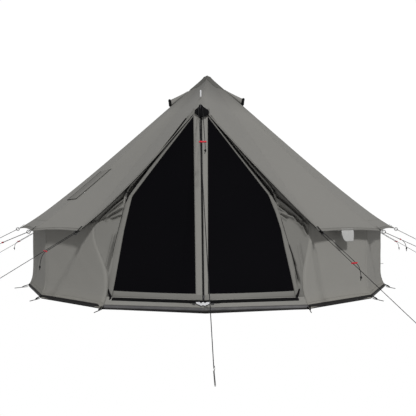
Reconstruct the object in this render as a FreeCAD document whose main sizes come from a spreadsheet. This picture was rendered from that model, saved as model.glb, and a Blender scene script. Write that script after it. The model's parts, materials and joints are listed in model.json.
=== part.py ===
import FreeCAD, Part
import math
import os

# Bell tent, 4 m across, in millimetres. +Z is up, the door faces -Y and the origin
# is the centre of the groundsheet's underside. Azimuths run from -Y towards +X.

V = FreeCAD.Vector
doc = FreeCAD.newDocument("bell_tent")

# ---------------------------------------------------------------- driving dimensions
SIZES = {
    "side_count": 14,            # the floor is a 14-sided polygon, one side pair is the door
    "wall_radius": 1950,         # wall corners
    "sheet_radius": 1985,        # groundsheet corners
    "sheet_thick": 6,
    "canvas_thick": 4,
    "wall_height": 720,
    "wall_line_height": 748,     # roof height above the wall
    "peak_height": 2424,
    "peak_hole": 24,             # roof panels stop round the pole's spigot
    "eave_radius": 2092,
    "eave_height": 645,
    "door_eave_height": 658,     # the two eave corners beside the door are pulled higher
    "door_eave_left": 31.0,      # azimuth of those two corners, degrees
    "door_eave_right": 27.2,
    "apex_height": 1717,         # top of the A-frame
    "apex_forward": 1800,
    "apex_side": 45,
    "front_forward": 1950,       # middle of the doorway's foot
    "threshold_height": 86,
    "door_foot": 98,             # lower edge of the mesh doors
    "door_gap": 1.5,
    "knee_height": 958,          # where the door opening is widest under the roof edge
    "pole_radius": 16,
    "door_pole_radius": 11,
    "rope_diameter": 5,
    "strand_gap": 36,            # between the two strands of a guy rope
    "tensioner_length": 60,
    "tensioner_height": 14,
    "tensioner_thick": 7,
    "tensioner_hole": 3.3,
    "tensioner_round": 2.5,
    "ring_radius": 16,
    "ring_wire": 3,
    "base_peg_length": 150,
    "base_peg_radius": 3.5,
    "guy_peg_length": 230,
    "guy_peg_radius": 4,
    "hood_inner": 235,           # vent hood, measured out from the pole
    "hood_outer": 440,
    "hood_width": 170,
    "hood_lift": 100,
    "flap_inner": 1315,          # stove-jack flap
    "flap_outer": 1680,
    "flap_width": 360,
    "flap_thick": 5,
    "label_width": 175,
    "label_drop": 115,
    "slider_length": 24,
    "roll_radius": 26,           # rolled canvas door
}

sheet = doc.addObject("Spreadsheet::Sheet", "sizes")
for row, (alias, value) in enumerate(SIZES.items(), start=1):
    sheet.set("A%d" % row, alias)
    sheet.set("B%d" % row, str(value))
    sheet.setAlias("B%d" % row, alias)
doc.recompute()


def size(alias):
    """Value of a sheet cell."""
    return float(sheet.get(alias))


STEP = 360.0 / size("side_count")
THICK = size("canvas_thick")
parts = []


def keep(obj, label):
    """Register a finished sub-part under the name of its file."""
    obj.Label = label
    parts.append(obj)
    return obj


def solid_feature(label, shapes):
    """A Part::Feature that holds one solid or a group of separate solids."""
    obj = doc.addObject("Part::Feature", label)
    obj.Shape = shapes[0] if len(shapes) == 1 else Part.makeCompound(shapes)
    return keep(obj, label)


def around(azimuth, radius, height=0.0):
    """Point at an azimuth in degrees from the door, towards +X."""
    turn = math.radians(azimuth)
    return V(radius * math.sin(turn), -radius * math.cos(turn), height)


def facet(points, depth):
    """Flat panel: a polygon moved along the vector depth."""
    return Part.Face(Part.makePolygon(points + points[:1])).extrude(depth)


def rod(start, end, radius):
    """Round bar from start to end."""
    return Part.makeCylinder(radius, (end - start).Length, start, end - start)


def block(centre, along, across, length, width, thick):
    """Box centred on a point, with its length and width along two directions."""
    u = V(along).normalize()
    n = u.cross(across).normalize()
    w = n.cross(u)
    corner = centre - u * (length / 2) - w * (width / 2) - n * (thick / 2)
    base = [corner, corner + u * length, corner + u * length + w * width, corner + w * width]
    return facet(base, n * thick)


# ---------------------------------------------------------------- groundsheet and walls
def role_plane(body, role):
    """Origin plane of a body by its role."""
    return [f for f in body.Origin.OriginFeatures if f.Role == role][0]


def padded_polygon(label, loops, alias, base_height):
    """PartDesign body: closed polygons padded upwards to a sheet length."""
    body = doc.addObject("PartDesign::Body", label)
    sketch = body.newObject("Sketcher::SketchObject", label + "_sketch")
    sketch.AttachmentSupport = (role_plane(body, "XY_Plane"), [""])
    sketch.MapMode = "FlatFace"
    for loop in loops:
        for a, b in zip(loop, loop[1:] + loop[:1]):
            sketch.addGeometry(Part.LineSegment(V(a.x, a.y, 0), V(b.x, b.y, 0)), False)
    pad = body.newObject("PartDesign::Pad", label + "_pad")
    pad.Profile = sketch
    pad.setExpression("Length", "sizes." + alias)
    body.Placement = FreeCAD.Placement(V(0, 0, base_height), FreeCAD.Rotation())
    return keep(body, label)


corners = [around(STEP * k, size("sheet_radius")) for k in range(int(size("side_count")))]
padded_polygon("groundsheet", [corners], "sheet_thick", 0)


def wall_strip(k):
    """Foot of wall panel k, between two neighbouring corners of the floor."""
    outer = size("wall_radius")
    inner = outer - THICK
    return [around(STEP * k, outer), around(STEP * (k + 1), outer),
            around(STEP * (k + 1), inner), around(STEP * k, inner)]


def wall_run(label, first, last):
    """One length of side wall: flat panels with a mitre at every corner."""
    foot = size("sheet_thick")
    panels = []
    for k in range(first, last):
        panels.append(facet([p + V(0, 0, foot) for p in wall_strip(k)], V(0, 0, size("wall_height"))))
    return solid_feature(label, panels)


wall_run("wall_right", 1, 7)
wall_run("wall_left", 7, 13)

# ---------------------------------------------------------------- roof
PEAK = around(0, 0, size("peak_height"))
WALL_LINE = size("wall_line_height")
ROOF_SLOPE = (size("peak_height") - WALL_LINE) / size("wall_radius")
APEX = V(-size("apex_side"), -size("apex_forward"), size("apex_height"))
EAVE_LEFT = around(-size("door_eave_left"), size("eave_radius"), size("door_eave_height"))
EAVE_RIGHT = around(size("door_eave_right"), size("eave_radius"), size("door_eave_height"))
DROP = V(0, 0, -THICK * 1.4)


def roof_height(radius):
    """Height of the roof's upper side above a corner seam."""
    return size("peak_height") - ROOF_SLOPE * radius


def roof_corner(k):
    """Eave corner k; corners 1 and 13 stand beside the door."""
    if k == 1:
        return EAVE_RIGHT
    if k == 13:
        return EAVE_LEFT
    return around(STEP * k, size("eave_radius"), size("eave_height"))


def seam_azimuth(k):
    """Azimuth of roof seam k."""
    if k == 1:
        return size("door_eave_right")
    if k == 13:
        return 360.0 - size("door_eave_left")
    return STEP * k


def seam_point(k, radius):
    """Point of the roof's upper side on seam k."""
    return around(seam_azimuth(k), radius, roof_height(radius))


def gore(k):
    """Roof panel between seams k and k + 1, with its eave overhang."""
    top = size("peak_hole")
    line = size("wall_radius")
    upper = [seam_point(k, line), seam_point(k + 1, line), seam_point(k + 1, top), seam_point(k, top)]
    a, b = roof_corner(k), roof_corner(k + 1)
    skirt = [facet([a, b, seam_point(k + 1, line)], DROP),
             facet([a, seam_point(k + 1, line), seam_point(k, line)], DROP)]
    return [facet(upper, DROP)] + skirt


def roof_run(label, first, last):
    """A group of neighbouring roof panels sewn into one section."""
    pieces = []
    for k in range(first, last):
        pieces += gore(k)
    return solid_feature(label, pieces)


def front_gore(k):
    """Roof panel from the door's ridge to the seam beside the door."""
    line = seam_point(k, size("wall_radius"))
    ridge_top = around(0, size("peak_hole"), roof_height(size("peak_hole")))
    top = seam_point(k, size("peak_hole"))
    return [facet([ridge_top, line, top], DROP),
            facet([ridge_top, APEX, line], DROP),
            facet([APEX, roof_corner(k), line], DROP)]


solid_feature("roof_front_right", front_gore(1) + gore(1))
solid_feature("roof_front_left", front_gore(13) + gore(12))
roof_run("roof_side_right", 2, 4)
roof_run("roof_rear_right", 4, 7)
roof_run("roof_rear_left", 7, 10)
roof_run("roof_side_left", 10, 12)

# ---------------------------------------------------------------- doorway
FOOT = V(-20, -size("front_forward"), size("sheet_thick"))
SIDES = {"left": -1, "right": 1}
KNEE_OUT = {"left": 618, "right": 532}      # half widths of the opening at the knee
FOOT_OUT = {"left": 762, "right": 735}      # and at its foot


def wall_corner(side, height):
    """Front corner of the side wall."""
    return around(SIDES[side] * STEP, size("wall_radius"), height)


def door_plane(side, x, height):
    """Point of the flat front of one side, from its x and its height."""
    corner = wall_corner(side, size("sheet_thick"))
    normal = (APEX - FOOT).cross(corner - FOOT)
    y = FOOT.y - (normal.x * (x - FOOT.x) + normal.z * (height - FOOT.z)) / normal.y
    return V(x, y, height)


def centre_x(height):
    """Side position of the door's middle line at a height."""
    share = (height - FOOT.z) / (APEX.z - FOOT.z)
    return FOOT.x + share * (APEX.x - FOOT.x)


INWARDS = V(0, THICK, 0)     # through the canvas of the flat front


def threshold_strip(side):
    """Upright canvas strip under one door."""
    corner = wall_corner(side, FOOT.z)
    end = corner - V(SIDES[side] * THICK, 0, 0)
    foot = [FOOT, end, end + INWARDS, FOOT + INWARDS]
    return facet(foot, V(0, 0, size("threshold_height") - FOOT.z))


solid_feature("door_threshold", [threshold_strip("left"), threshold_strip("right")])


HIGH = size("apex_height") - 60     # top edge of the mesh doors
LOW = size("door_foot")
FOLD_GAP = 4.0                      # between a door and the fixed mesh beside it
TOP_OUT = 24.0                      # half width of the mesh at its top edge
SEAM_GAP = 3.0                      # between the mesh and the canvas round it
SURROUND_OUT = 838.0                # half width of the canvas front, clear of the side wall


def door_outline(side):
    """Opening part of one mesh door: it folds back along its straight outer edge."""
    sign = SIDES[side]
    gap = sign * size("door_gap")
    return [door_plane(side, centre_x(LOW) + gap, LOW),
            door_plane(side, sign * (FOOT_OUT[side] - FOLD_GAP), LOW),
            door_plane(side, centre_x(HIGH) + sign * (TOP_OUT - 2), HIGH),
            door_plane(side, centre_x(HIGH) + gap, HIGH)]


def door_side_outline(side):
    """Fixed part of the mesh, between the fold line and the canvas frame."""
    sign = SIDES[side]
    return [door_plane(side, sign * FOOT_OUT[side], LOW),
            door_plane(side, sign * KNEE_OUT[side], size("knee_height")),
            door_plane(side, centre_x(HIGH) + sign * (TOP_OUT + 2), HIGH)]


def surround_outlines(side):
    """Canvas between the mesh, the roof edge and the wall, as two flat stretches."""
    sign = SIDES[side]
    gap = sign * SEAM_GAP
    low = size("threshold_height") + 1
    knee = size("knee_height")
    shoulder = door_plane(side, sign * (KNEE_OUT[side] + 150), knee - 40)
    knee_point = door_plane(side, sign * KNEE_OUT[side] + gap, knee)
    lower = [door_plane(side, sign * FOOT_OUT[side] + gap, low),
             door_plane(side, sign * SURROUND_OUT, low),
             door_plane(side, sign * SURROUND_OUT, WALL_LINE - 36),
             shoulder, knee_point]
    upper = [knee_point, shoulder,
             door_plane(side, centre_x(HIGH) + sign * 64, HIGH - 34),
             door_plane(side, centre_x(HIGH) + sign * 34, HIGH - 10)]
    return [lower, upper]


for side in SIDES:
    solid_feature("mesh_door_" + side, [facet(door_outline(side), INWARDS)])
    frame = [facet(outline, INWARDS) for outline in surround_outlines(side)]
    solid_feature("door_surround_" + side, [facet(door_side_outline(side), INWARDS)] + frame)


def tube_along(points, radius):
    """Round tube on straight runs joined by tangent arcs; returns its solid and arc radii."""
    edges = []
    radii = []
    here = points[0]
    for before, corner, after in zip(points, points[1:], points[2:]):
        back = before - corner
        ahead = after - corner
        turn = math.pi - back.getAngle(ahead)
        reach = 0.45 * min(back.Length, ahead.Length)
        radii.append(reach / math.tan(turn / 2))
        start = corner + back.normalize() * reach
        end = corner + ahead.normalize() * reach
        to_centre = (back + ahead).normalize()
        sagitta = radii[-1] / math.cos(turn / 2) - radii[-1]
        edges.append(Part.LineSegment(here, start).toShape())
        edges.append(Part.Arc(start, corner + to_centre * sagitta, end).toShape())
        here = end
    edges.append(Part.LineSegment(here, points[-1]).toShape())
    path = Part.Wire(edges)
    ring = Part.Wire([Part.makeCircle(radius, points[0], points[1] - points[0])])
    tube = path.makePipeShell([ring], True, False)
    expected = math.pi * radius ** 2 * path.Length
    if abs(tube.Volume / expected - 1) > 0.02:
        raise RuntimeError("tube volume %.0f, expected %.0f" % (tube.Volume, expected))
    return tube, radii


def rolled_door(side):
    """Canvas door rolled up and tied beside the opening: one thick roll."""
    sign = SIDES[side]
    out = V(0, -size("roll_radius") - 6, 0)
    knee = size("knee_height")
    start = size("apex_height") - 330
    route = [door_plane(side, centre_x(start) + sign * 205, start) + out,
             door_plane(side, sign * (KNEE_OUT[side] + 36), knee) + out,
             door_plane(side, sign * (FOOT_OUT[side] + 44), size("threshold_height") + 60) + out]
    return tube_along(route, size("roll_radius"))[0]


for side in SIDES:
    solid_feature("canvas_door_" + side, [rolled_door(side)])

# ---------------------------------------------------------------- poles
POLE_TOP = size("peak_height") - 34
POLE_JOINT = 1210.0          # the centre pole is made of two lengths
FOOT_CAP = 14.0
FOOT_CAP_RIM = 9             # the cap stands this far past the pole
JOINER = APEX + V(0, 62, -76)
JOINER_SIZE = V(84, 34, 30)  # block that takes both legs of the A-frame


def cylinder(label, radius_alias, length, base, direction):
    """Part::Cylinder with its radius bound to the sheet."""
    obj = doc.addObject("Part::Cylinder", label)
    obj.setExpression("Radius", "sizes." + radius_alias)
    obj.Height = length
    obj.Placement = FreeCAD.Placement(base, FreeCAD.Rotation(V(0, 0, 1), direction))
    return keep(obj, label)


sheet_top = size("sheet_thick")
foot_cap = doc.addObject("Part::Cylinder", "centre_pole_foot")
foot_cap.setExpression("Radius", "sizes.pole_radius + %d" % FOOT_CAP_RIM)
foot_cap.Height = FOOT_CAP
foot_cap.Placement.Base = V(0, 0, sheet_top)
keep(foot_cap, "centre_pole_foot")
pole_base = sheet_top + FOOT_CAP
cylinder("centre_pole_lower", "pole_radius", POLE_JOINT - pole_base, V(0, 0, pole_base), V(0, 0, 1))
cylinder("centre_pole_upper", "pole_radius", POLE_TOP - POLE_JOINT, V(0, 0, POLE_JOINT), V(0, 0, 1))

for side in SIDES:
    start = wall_corner(side, sheet_top + 4) + V(-SIDES[side] * 60, 90, 0)
    end = JOINER + V(SIDES[side] * 24, 0, -12)
    slant = (end - start).normalize()
    cylinder("door_pole_" + side, "door_pole_radius", (end - start).Length - 6, start + slant * 6, slant)
joiner = doc.addObject("Part::Box", "door_pole_joiner")
joiner.Length, joiner.Width, joiner.Height = JOINER_SIZE.x, JOINER_SIZE.y, JOINER_SIZE.z
joiner.Placement.Base = JOINER + V(-JOINER_SIZE.x / 2, -JOINER_SIZE.y / 2, 1)
keep(joiner, "door_pole_joiner")

# ---------------------------------------------------------------- peak cap, vents, stove flap
CAP_RADIUS = 60.0
CAP_TIP = 8.0
CAP_HEIGHT = 26.0
CAP_WALL = 5.0
CAP_DROP = 16.0              # how far the cap's rim hangs below the peak
cap_outer = doc.addObject("Part::Cone", "cap_outer")
cap_outer.Radius1 = CAP_RADIUS
cap_outer.Radius2 = CAP_TIP
cap_outer.Height = CAP_HEIGHT
cap_inner = doc.addObject("Part::Cone", "cap_inner")
cap_inner.Radius1 = CAP_RADIUS - CAP_WALL
cap_inner.Radius2 = CAP_TIP - CAP_WALL
cap_inner.Height = CAP_HEIGHT - CAP_WALL
cap = doc.addObject("Part::Cut", "peak_cap")
cap.Base = cap_outer
cap.Tool = cap_inner
cap.Placement.Base = V(0, 0, size("peak_height") - CAP_DROP)
keep(cap, "peak_cap")


def vent_hood(azimuth):
    """Hood over a roof vent: a raised top and two cheeks, open at the low end."""
    near = size("hood_inner")
    far = size("hood_outer")
    half = size("hood_width") / 2
    lift = size("hood_lift")
    side = around(azimuth + 90, 1)
    clear = 3.0
    seam = V(0, 0, 0.5)
    flat = math.cos(math.radians(STEP / 2))
    top_in = around(azimuth, near, roof_height(near / flat) + 16 + clear)
    top_out = around(azimuth, far, roof_height(far / flat) + lift)
    low_out = around(azimuth, far, roof_height(far / flat) + 14 + clear)
    low_in = around(azimuth, near, roof_height(near / flat) + 14 + clear)
    roof = facet([top_in - side * half, top_in + side * half,
                  top_out + side * half, top_out - side * half], V(0, 0, THICK))
    cheeks = []
    for sign in (-1, 1):
        edge = side * (sign * half)
        inner = side * (-sign * THICK)
        cheek = [low_in + edge, low_out + edge, top_out + edge - seam, top_in + edge - seam]
        cheeks.append(facet(cheek, inner))
    return [roof] + cheeks


VENTS = [-STEP * 3.5, STEP * 3.5, -STEP * 5.5, STEP * 5.5]
solid_feature("vent_hoods", [s for azimuth in VENTS for s in vent_hood(azimuth)])

FLAP_AZIMUTH = -STEP * 2.14     # the cover lies across the seam at two steps
FLAP_LIFT = 4.0                 # clear of the roof


def flap_point(radius, side, lift):
    """Point of the flat cover, side millimetres across it."""
    return around(FLAP_AZIMUTH, radius, roof_height(radius) + lift) + around(FLAP_AZIMUTH + 90, side)


def flap_shape():
    """Rain flap over the stove jack, hinged along its upper edge."""
    half = size("flap_width") / 2
    outline = [flap_point(radius, side, FLAP_LIFT) for radius, side in
               ((size("flap_inner"), -half), (size("flap_inner"), half),
                (size("flap_outer"), half), (size("flap_outer"), -half))]
    return facet(outline, V(0, 0, size("flap_thick")))


solid_feature("stove_flap", [flap_shape()])

# ---------------------------------------------------------------- label on the eave
LABEL_SHARE = 0.44           # of the way along the panel's edge
LABEL_THICK = 3
label_side = seam_azimuth(1) + (STEP * 2 - seam_azimuth(1)) * LABEL_SHARE
label_top = around(label_side, size("eave_radius") - 60, size("eave_height") - 6)
label_across = around(STEP * 1.5 + 90, 1)
label_at = label_top + V(0, 0, -size("label_drop") / 2)
solid_feature("eave_label", [block(label_at, label_across, V(0, 0, 1),
                                   size("label_width"), size("label_drop"), LABEL_THICK)])

# ---------------------------------------------------------------- guy ropes
GUYS = {}          # name: (eave corner, peg azimuth, peg radius, tensioner distance, tail drop)
GUYS["door"] = (APEX, 1.25, 3550, 475, 30)
GUYS["01"] = (roof_corner(1), 27.9, 3168, 415, 75)
GUYS["02"] = (roof_corner(2), 60.0, 3400, 150, 60)
GUYS["03"] = (roof_corner(3), 77.1, 3300, 420, 60)
GUYS["11"] = (roof_corner(11), -77.1, 3300, 420, 60)
GUYS["12"] = (roof_corner(12), -64.0, 3450, 240, 60)
GUYS["13"] = (roof_corner(13), -37.8, 3227, 289, 94)
for k in range(4, 11):
    GUYS["%02d" % k] = (roof_corner(k), STEP * k, 3300, 400, 60)

RING_OUT = 34.0              # from the eave corner to the rope's turn in the ring
BEND = 30.0                  # from the tensioner to where the tail turns down
rings = []
guy_pegs = []
for name, (corner, azimuth, radius, slide_at, tail) in GUYS.items():
    peg = around(azimuth, radius, 16)
    pull = (peg - corner).normalize()
    across = pull.cross(V(0, 0, 1)).normalize()
    up = across.cross(pull)
    ring_point = corner + pull * RING_OUT
    half = across * (size("strand_gap") / 2)
    at = ring_point + pull * slide_at
    bend = at + pull * BEND - half
    route = [peg + half, ring_point + half, ring_point - half, bend,
             bend + pull * 26 + V(0, 0, -tail * 0.52), bend + pull * 30 + V(0, 0, -tail)]
    tube, radii = tube_along(route, size("rope_diameter") / 2)
    print("rope", name, "arc radii", [round(r, 1) for r in radii])
    solid_feature("guy_rope_" + name, [tube])

    bar = block(at, across, up, size("tensioner_length"), size("tensioner_height"), size("tensioner_thick"))
    bar = bar.makeFillet(size("tensioner_round"), bar.Edges)
    for share in (-1, 0, 1):
        centre = at + half * share - pull * 20
        bar = bar.cut(Part.makeCylinder(size("tensioner_hole"), 40, centre, pull))
    solid_feature("tensioner_" + name, [bar])

    ring_centre = ring_point + pull * (6 - size("ring_radius"))
    rings.append(Part.makeTorus(size("ring_radius"), size("ring_wire"), ring_centre, across))
    # the stake lies on the ground, its hook at the rope's end
    out = V(peg.x, peg.y, 0).normalize()
    foot = V(peg.x + half.x, peg.y + half.y, size("guy_peg_radius"))
    start = foot + out * 9
    guy_pegs.append(rod(start, start + out * size("guy_peg_length"), size("guy_peg_radius")))

solid_feature("guy_rings", rings)
solid_feature("guy_pegs", guy_pegs)

# ---------------------------------------------------------------- pegs round the base
PEG_TURNS = {1: -5, 2: 22, 3: 20, 11: -43, 12: -17, 13: -12}     # the others point straight outwards
base_pegs = []
for k in range(1, int(size("side_count"))):
    start = around(STEP * k, size("sheet_radius") + 25, size("base_peg_radius"))
    end = start + around(PEG_TURNS.get(k, STEP * k), size("base_peg_length"))
    base_pegs.append(rod(start, end, size("base_peg_radius")))
solid_feature("base_pegs", base_pegs)


# ---------------------------------------------------------------- zip sliders
def slider(label, place, along):
    """Zip slider with its pull, lying in front of the canvas."""
    front = V(0, -1, 0)
    body = block(place + front * 6, along, front.cross(along), size("slider_length"), 12, 7)
    return solid_feature(label, [body])


zip_low = size("door_foot") + 30
slider("zip_slider_door", door_plane("right", centre_x(zip_low) + 8, zip_low), APEX - FOOT)
for side in SIDES:
    run = wall_corner(side, FOOT.z) - FOOT
    place = FOOT + run * 0.09 + V(0, 0, size("threshold_height") - 20)
    slider("zip_slider_" + side, place, run)

# ---------------------------------------------------------------- checks and export
doc.recompute()
for obj in doc.Objects:
    if "Invalid" in obj.State or "Error" in obj.State:
        raise RuntimeError("%s failed: %s" % (obj.Name, obj.State))
for obj in parts:
    if obj.Shape.isNull() or not obj.Shape.isValid() or not obj.Shape.Solids:
        raise RuntimeError("%s has no valid solid" % obj.Label)

os.makedirs("parts", exist_ok=True)
for obj in parts:
    obj.Shape.exportStep("parts/%s.step" % obj.Label)
print(len(parts), "parts")
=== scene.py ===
"""Bell tent: cloth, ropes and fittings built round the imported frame."""
from __future__ import annotations

import json
import logging
import math
from dataclasses import dataclass, field
from enum import Enum
from typing import Callable, Sequence

import bmesh
import bpy
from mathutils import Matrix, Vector, noise

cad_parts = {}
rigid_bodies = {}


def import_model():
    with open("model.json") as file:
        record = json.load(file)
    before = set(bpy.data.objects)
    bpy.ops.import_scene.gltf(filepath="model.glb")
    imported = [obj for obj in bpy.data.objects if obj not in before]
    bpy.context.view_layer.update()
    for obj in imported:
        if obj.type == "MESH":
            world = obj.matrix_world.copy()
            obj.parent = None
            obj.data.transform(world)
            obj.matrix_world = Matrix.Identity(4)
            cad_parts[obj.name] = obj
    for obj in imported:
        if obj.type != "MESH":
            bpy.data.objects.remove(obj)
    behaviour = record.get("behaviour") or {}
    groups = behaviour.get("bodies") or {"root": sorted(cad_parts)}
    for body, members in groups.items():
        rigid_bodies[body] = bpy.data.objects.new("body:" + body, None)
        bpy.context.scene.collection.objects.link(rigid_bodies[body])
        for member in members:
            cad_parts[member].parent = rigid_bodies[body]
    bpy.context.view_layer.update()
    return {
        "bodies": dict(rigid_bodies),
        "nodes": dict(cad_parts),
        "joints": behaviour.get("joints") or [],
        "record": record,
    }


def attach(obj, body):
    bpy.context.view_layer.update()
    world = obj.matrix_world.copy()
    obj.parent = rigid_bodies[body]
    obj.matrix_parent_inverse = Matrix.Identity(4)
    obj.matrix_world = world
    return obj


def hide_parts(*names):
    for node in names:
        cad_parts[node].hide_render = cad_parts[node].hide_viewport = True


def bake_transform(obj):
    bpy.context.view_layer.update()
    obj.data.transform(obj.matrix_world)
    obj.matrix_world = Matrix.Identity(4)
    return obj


LOG = logging.getLogger("bell_tent")
Place = Callable[[float, float], Vector]
Piece = bpy.types.Object
Paint = bpy.types.Material
Palette = dict[str, Paint]
Outlet = bpy.types.NodeSocket
CutLine = tuple[tuple[float, float], ...]
TENT = "tent"
UP = Vector((0.0, 0.0, 1.0))
SIDEWAYS = Vector((1.0, 0.0, 0.0))
INSIDE = 0.99999     # keeps the end of a run of panels within its last panel


class Side(Enum):
    """The two halves of the doorway; the value is the sign of X."""

    LEFT = -1
    RIGHT = 1

    @property
    def word(self) -> str:
        """Lower-case name used in piece names."""
        return self.name.lower()


class Pattern(Enum):
    """What the surface of a finish is made of."""

    WEAVE = "weave"
    NET = "net"
    BRAID = "braid"
    GRAIN = "grain"
    BRUSHED = "brushed"


# ---------------- shader groups
def new_group(name: str, inputs: dict[str, tuple[str, object]],
              outputs: dict[str, str]) -> bpy.types.NodeTree:
    """Empty shader node group with named sockets.

    Args:
        name: Name of the group.
        inputs: Socket name to (socket type, default value or None).
        outputs: Socket name to socket type.

    Returns:
        The node tree, with its group input and output nodes in place.
    """
    tree = bpy.data.node_groups.new(name, "ShaderNodeTree")
    for label, (kind, default) in inputs.items():
        socket = tree.interface.new_socket(label, in_out="INPUT", socket_type=kind)
        if default is not None:
            socket.default_value = default
    for label, kind in outputs.items():
        tree.interface.new_socket(label, in_out="OUTPUT", socket_type=kind)
    tree.nodes.new("NodeGroupInput").name = "in"
    tree.nodes.new("NodeGroupOutput").name = "out"
    return tree


class Wiring:
    """Short calls for adding nodes to one tree."""

    def __init__(self, tree: bpy.types.NodeTree) -> None:
        """Keep the tree that nodes are added to."""
        self.tree = tree

    def link(self, source: Outlet, target: Outlet) -> None:
        """Join an output to an input."""
        self.tree.links.new(source, target)

    def math(self, operation: str, a: object, b: object = 0.0) -> Outlet:
        """Math node.

        Args:
            operation: Blender's name of the operation.
            a: First value, a number or an output socket.
            b: Second value, a number or an output socket.

        Returns:
            The node's output.
        """
        node = self.tree.nodes.new("ShaderNodeMath")
        node.operation = operation
        for index, value in enumerate((a, b)):
            if isinstance(value, (int, float)):
                node.inputs[index].default_value = value
            else:
                self.link(value, node.inputs[index])
        return node.outputs[0]

    def noise(self, vector: Outlet, scale: object, detail: float) -> Outlet:
        """Noise texture read at a vector; its factor output.

        Args:
            vector: Where the noise is read.
            scale: Scale, a number or an output socket.
            detail: Layers of detail.

        Returns:
            The node's factor output.
        """
        node = self.tree.nodes.new("ShaderNodeTexNoise")
        node.inputs["Detail"].default_value = detail
        if isinstance(scale, (int, float)):
            node.inputs["Scale"].default_value = scale
        else:
            self.link(scale, node.inputs["Scale"])
        self.link(vector, node.inputs["Vector"])
        return node.outputs["Fac"]

    def mixed(self, factor: Outlet, first: object, second: object) -> Outlet:
        """Colour between two colours, each a tuple or an output socket.

        Args:
            factor: Share of the second colour.
            first: First colour.
            second: Second colour.

        Returns:
            Output with the mixed colour.
        """
        mix = self.tree.nodes.new("ShaderNodeMix")
        mix.data_type = "RGBA"
        self.link(factor, mix.inputs[0])
        for socket, value in ((mix.inputs[6], first), (mix.inputs[7], second)):
            if isinstance(value, tuple):
                socket.default_value = (*value, 1.0)
            else:
                self.link(value, socket)
        return mix.outputs[2]

    def split(self, vector: Outlet) -> bpy.types.NodeOutputs:
        """X, Y and Z of a vector."""
        node = self.tree.nodes.new("ShaderNodeSeparateXYZ")
        self.link(vector, node.inputs[0])
        return node.outputs


def thread_group() -> bpy.types.NodeTree:
    """Crossing threads on a piece's own UV map, which is in metres.

    Returns:
        The node group.
    """
    tree = new_group("threads", {"Vector": ("NodeSocketVector", None), "Across": ("NodeSocketFloat", 600.0),
                                 "Along": ("NodeSocketFloat", 600.0), "Shift": ("NodeSocketFloat", 0.0)},
                     {"Height": "NodeSocketFloat", "Gap": "NodeSocketFloat"})
    wire = Wiring(tree)
    source = tree.nodes["in"].outputs
    uv = wire.split(source["Vector"])
    slip = wire.math("MULTIPLY", uv["Y"], source["Shift"])
    across = wire.math("SINE", wire.math("MULTIPLY", wire.math("ADD", uv["X"], slip), source["Across"]))
    along = wire.math("SINE", wire.math("MULTIPLY", uv["Y"], source["Along"]))
    product = wire.math("MULTIPLY", across, along)
    wire.link(wire.math("MULTIPLY_ADD", product, 0.5), tree.nodes["out"].inputs["Height"])
    high = wire.math("MAXIMUM", wire.math("ABSOLUTE", across), wire.math("ABSOLUTE", along))
    wire.link(high, tree.nodes["out"].inputs["Gap"])
    return tree


def ageing_group() -> bpy.types.NodeTree:
    """Slow colour changes, small specks and ground dust, as masks.

    Returns:
        The node group.
    """
    tree = new_group("ageing", {"Vector": ("NodeSocketVector", None), "Scale": ("NodeSocketFloat", 2.0),
                                "Contrast": ("NodeSocketFloat", 1.0),
                                "Dust height": ("NodeSocketFloat", 0.15)},
                     {"Tone": "NodeSocketFloat", "Speck": "NodeSocketFloat", "Dust": "NodeSocketFloat"})
    wire = Wiring(tree)
    source = tree.nodes["in"].outputs
    broad = wire.noise(source["Vector"], source["Scale"], 4.0)
    centred = wire.math("SUBTRACT", broad, 0.5)
    tone = wire.math("ADD", wire.math("MULTIPLY", centred, source["Contrast"]), 0.5)
    wire.link(tone, tree.nodes["out"].inputs["Tone"])
    fine = wire.noise(source["Vector"], wire.math("MULTIPLY", source["Scale"], 90.0), 2.0)
    wire.link(fine, tree.nodes["out"].inputs["Speck"])
    height = wire.split(source["Vector"])["Z"]
    low = wire.math("SUBTRACT", 1.0, wire.math("DIVIDE", height, source["Dust height"]))
    patchy = wire.math("MULTIPLY", wire.math("MAXIMUM", low, 0.0), broad)
    wire.link(wire.math("MINIMUM", patchy, 1.0), tree.nodes["out"].inputs["Dust"])
    return tree


class Groups:
    """The shader groups that several finishes share, each built once."""

    def __init__(self) -> None:
        """Build both groups."""
        self.threads = thread_group()
        self.ageing = ageing_group()


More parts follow.
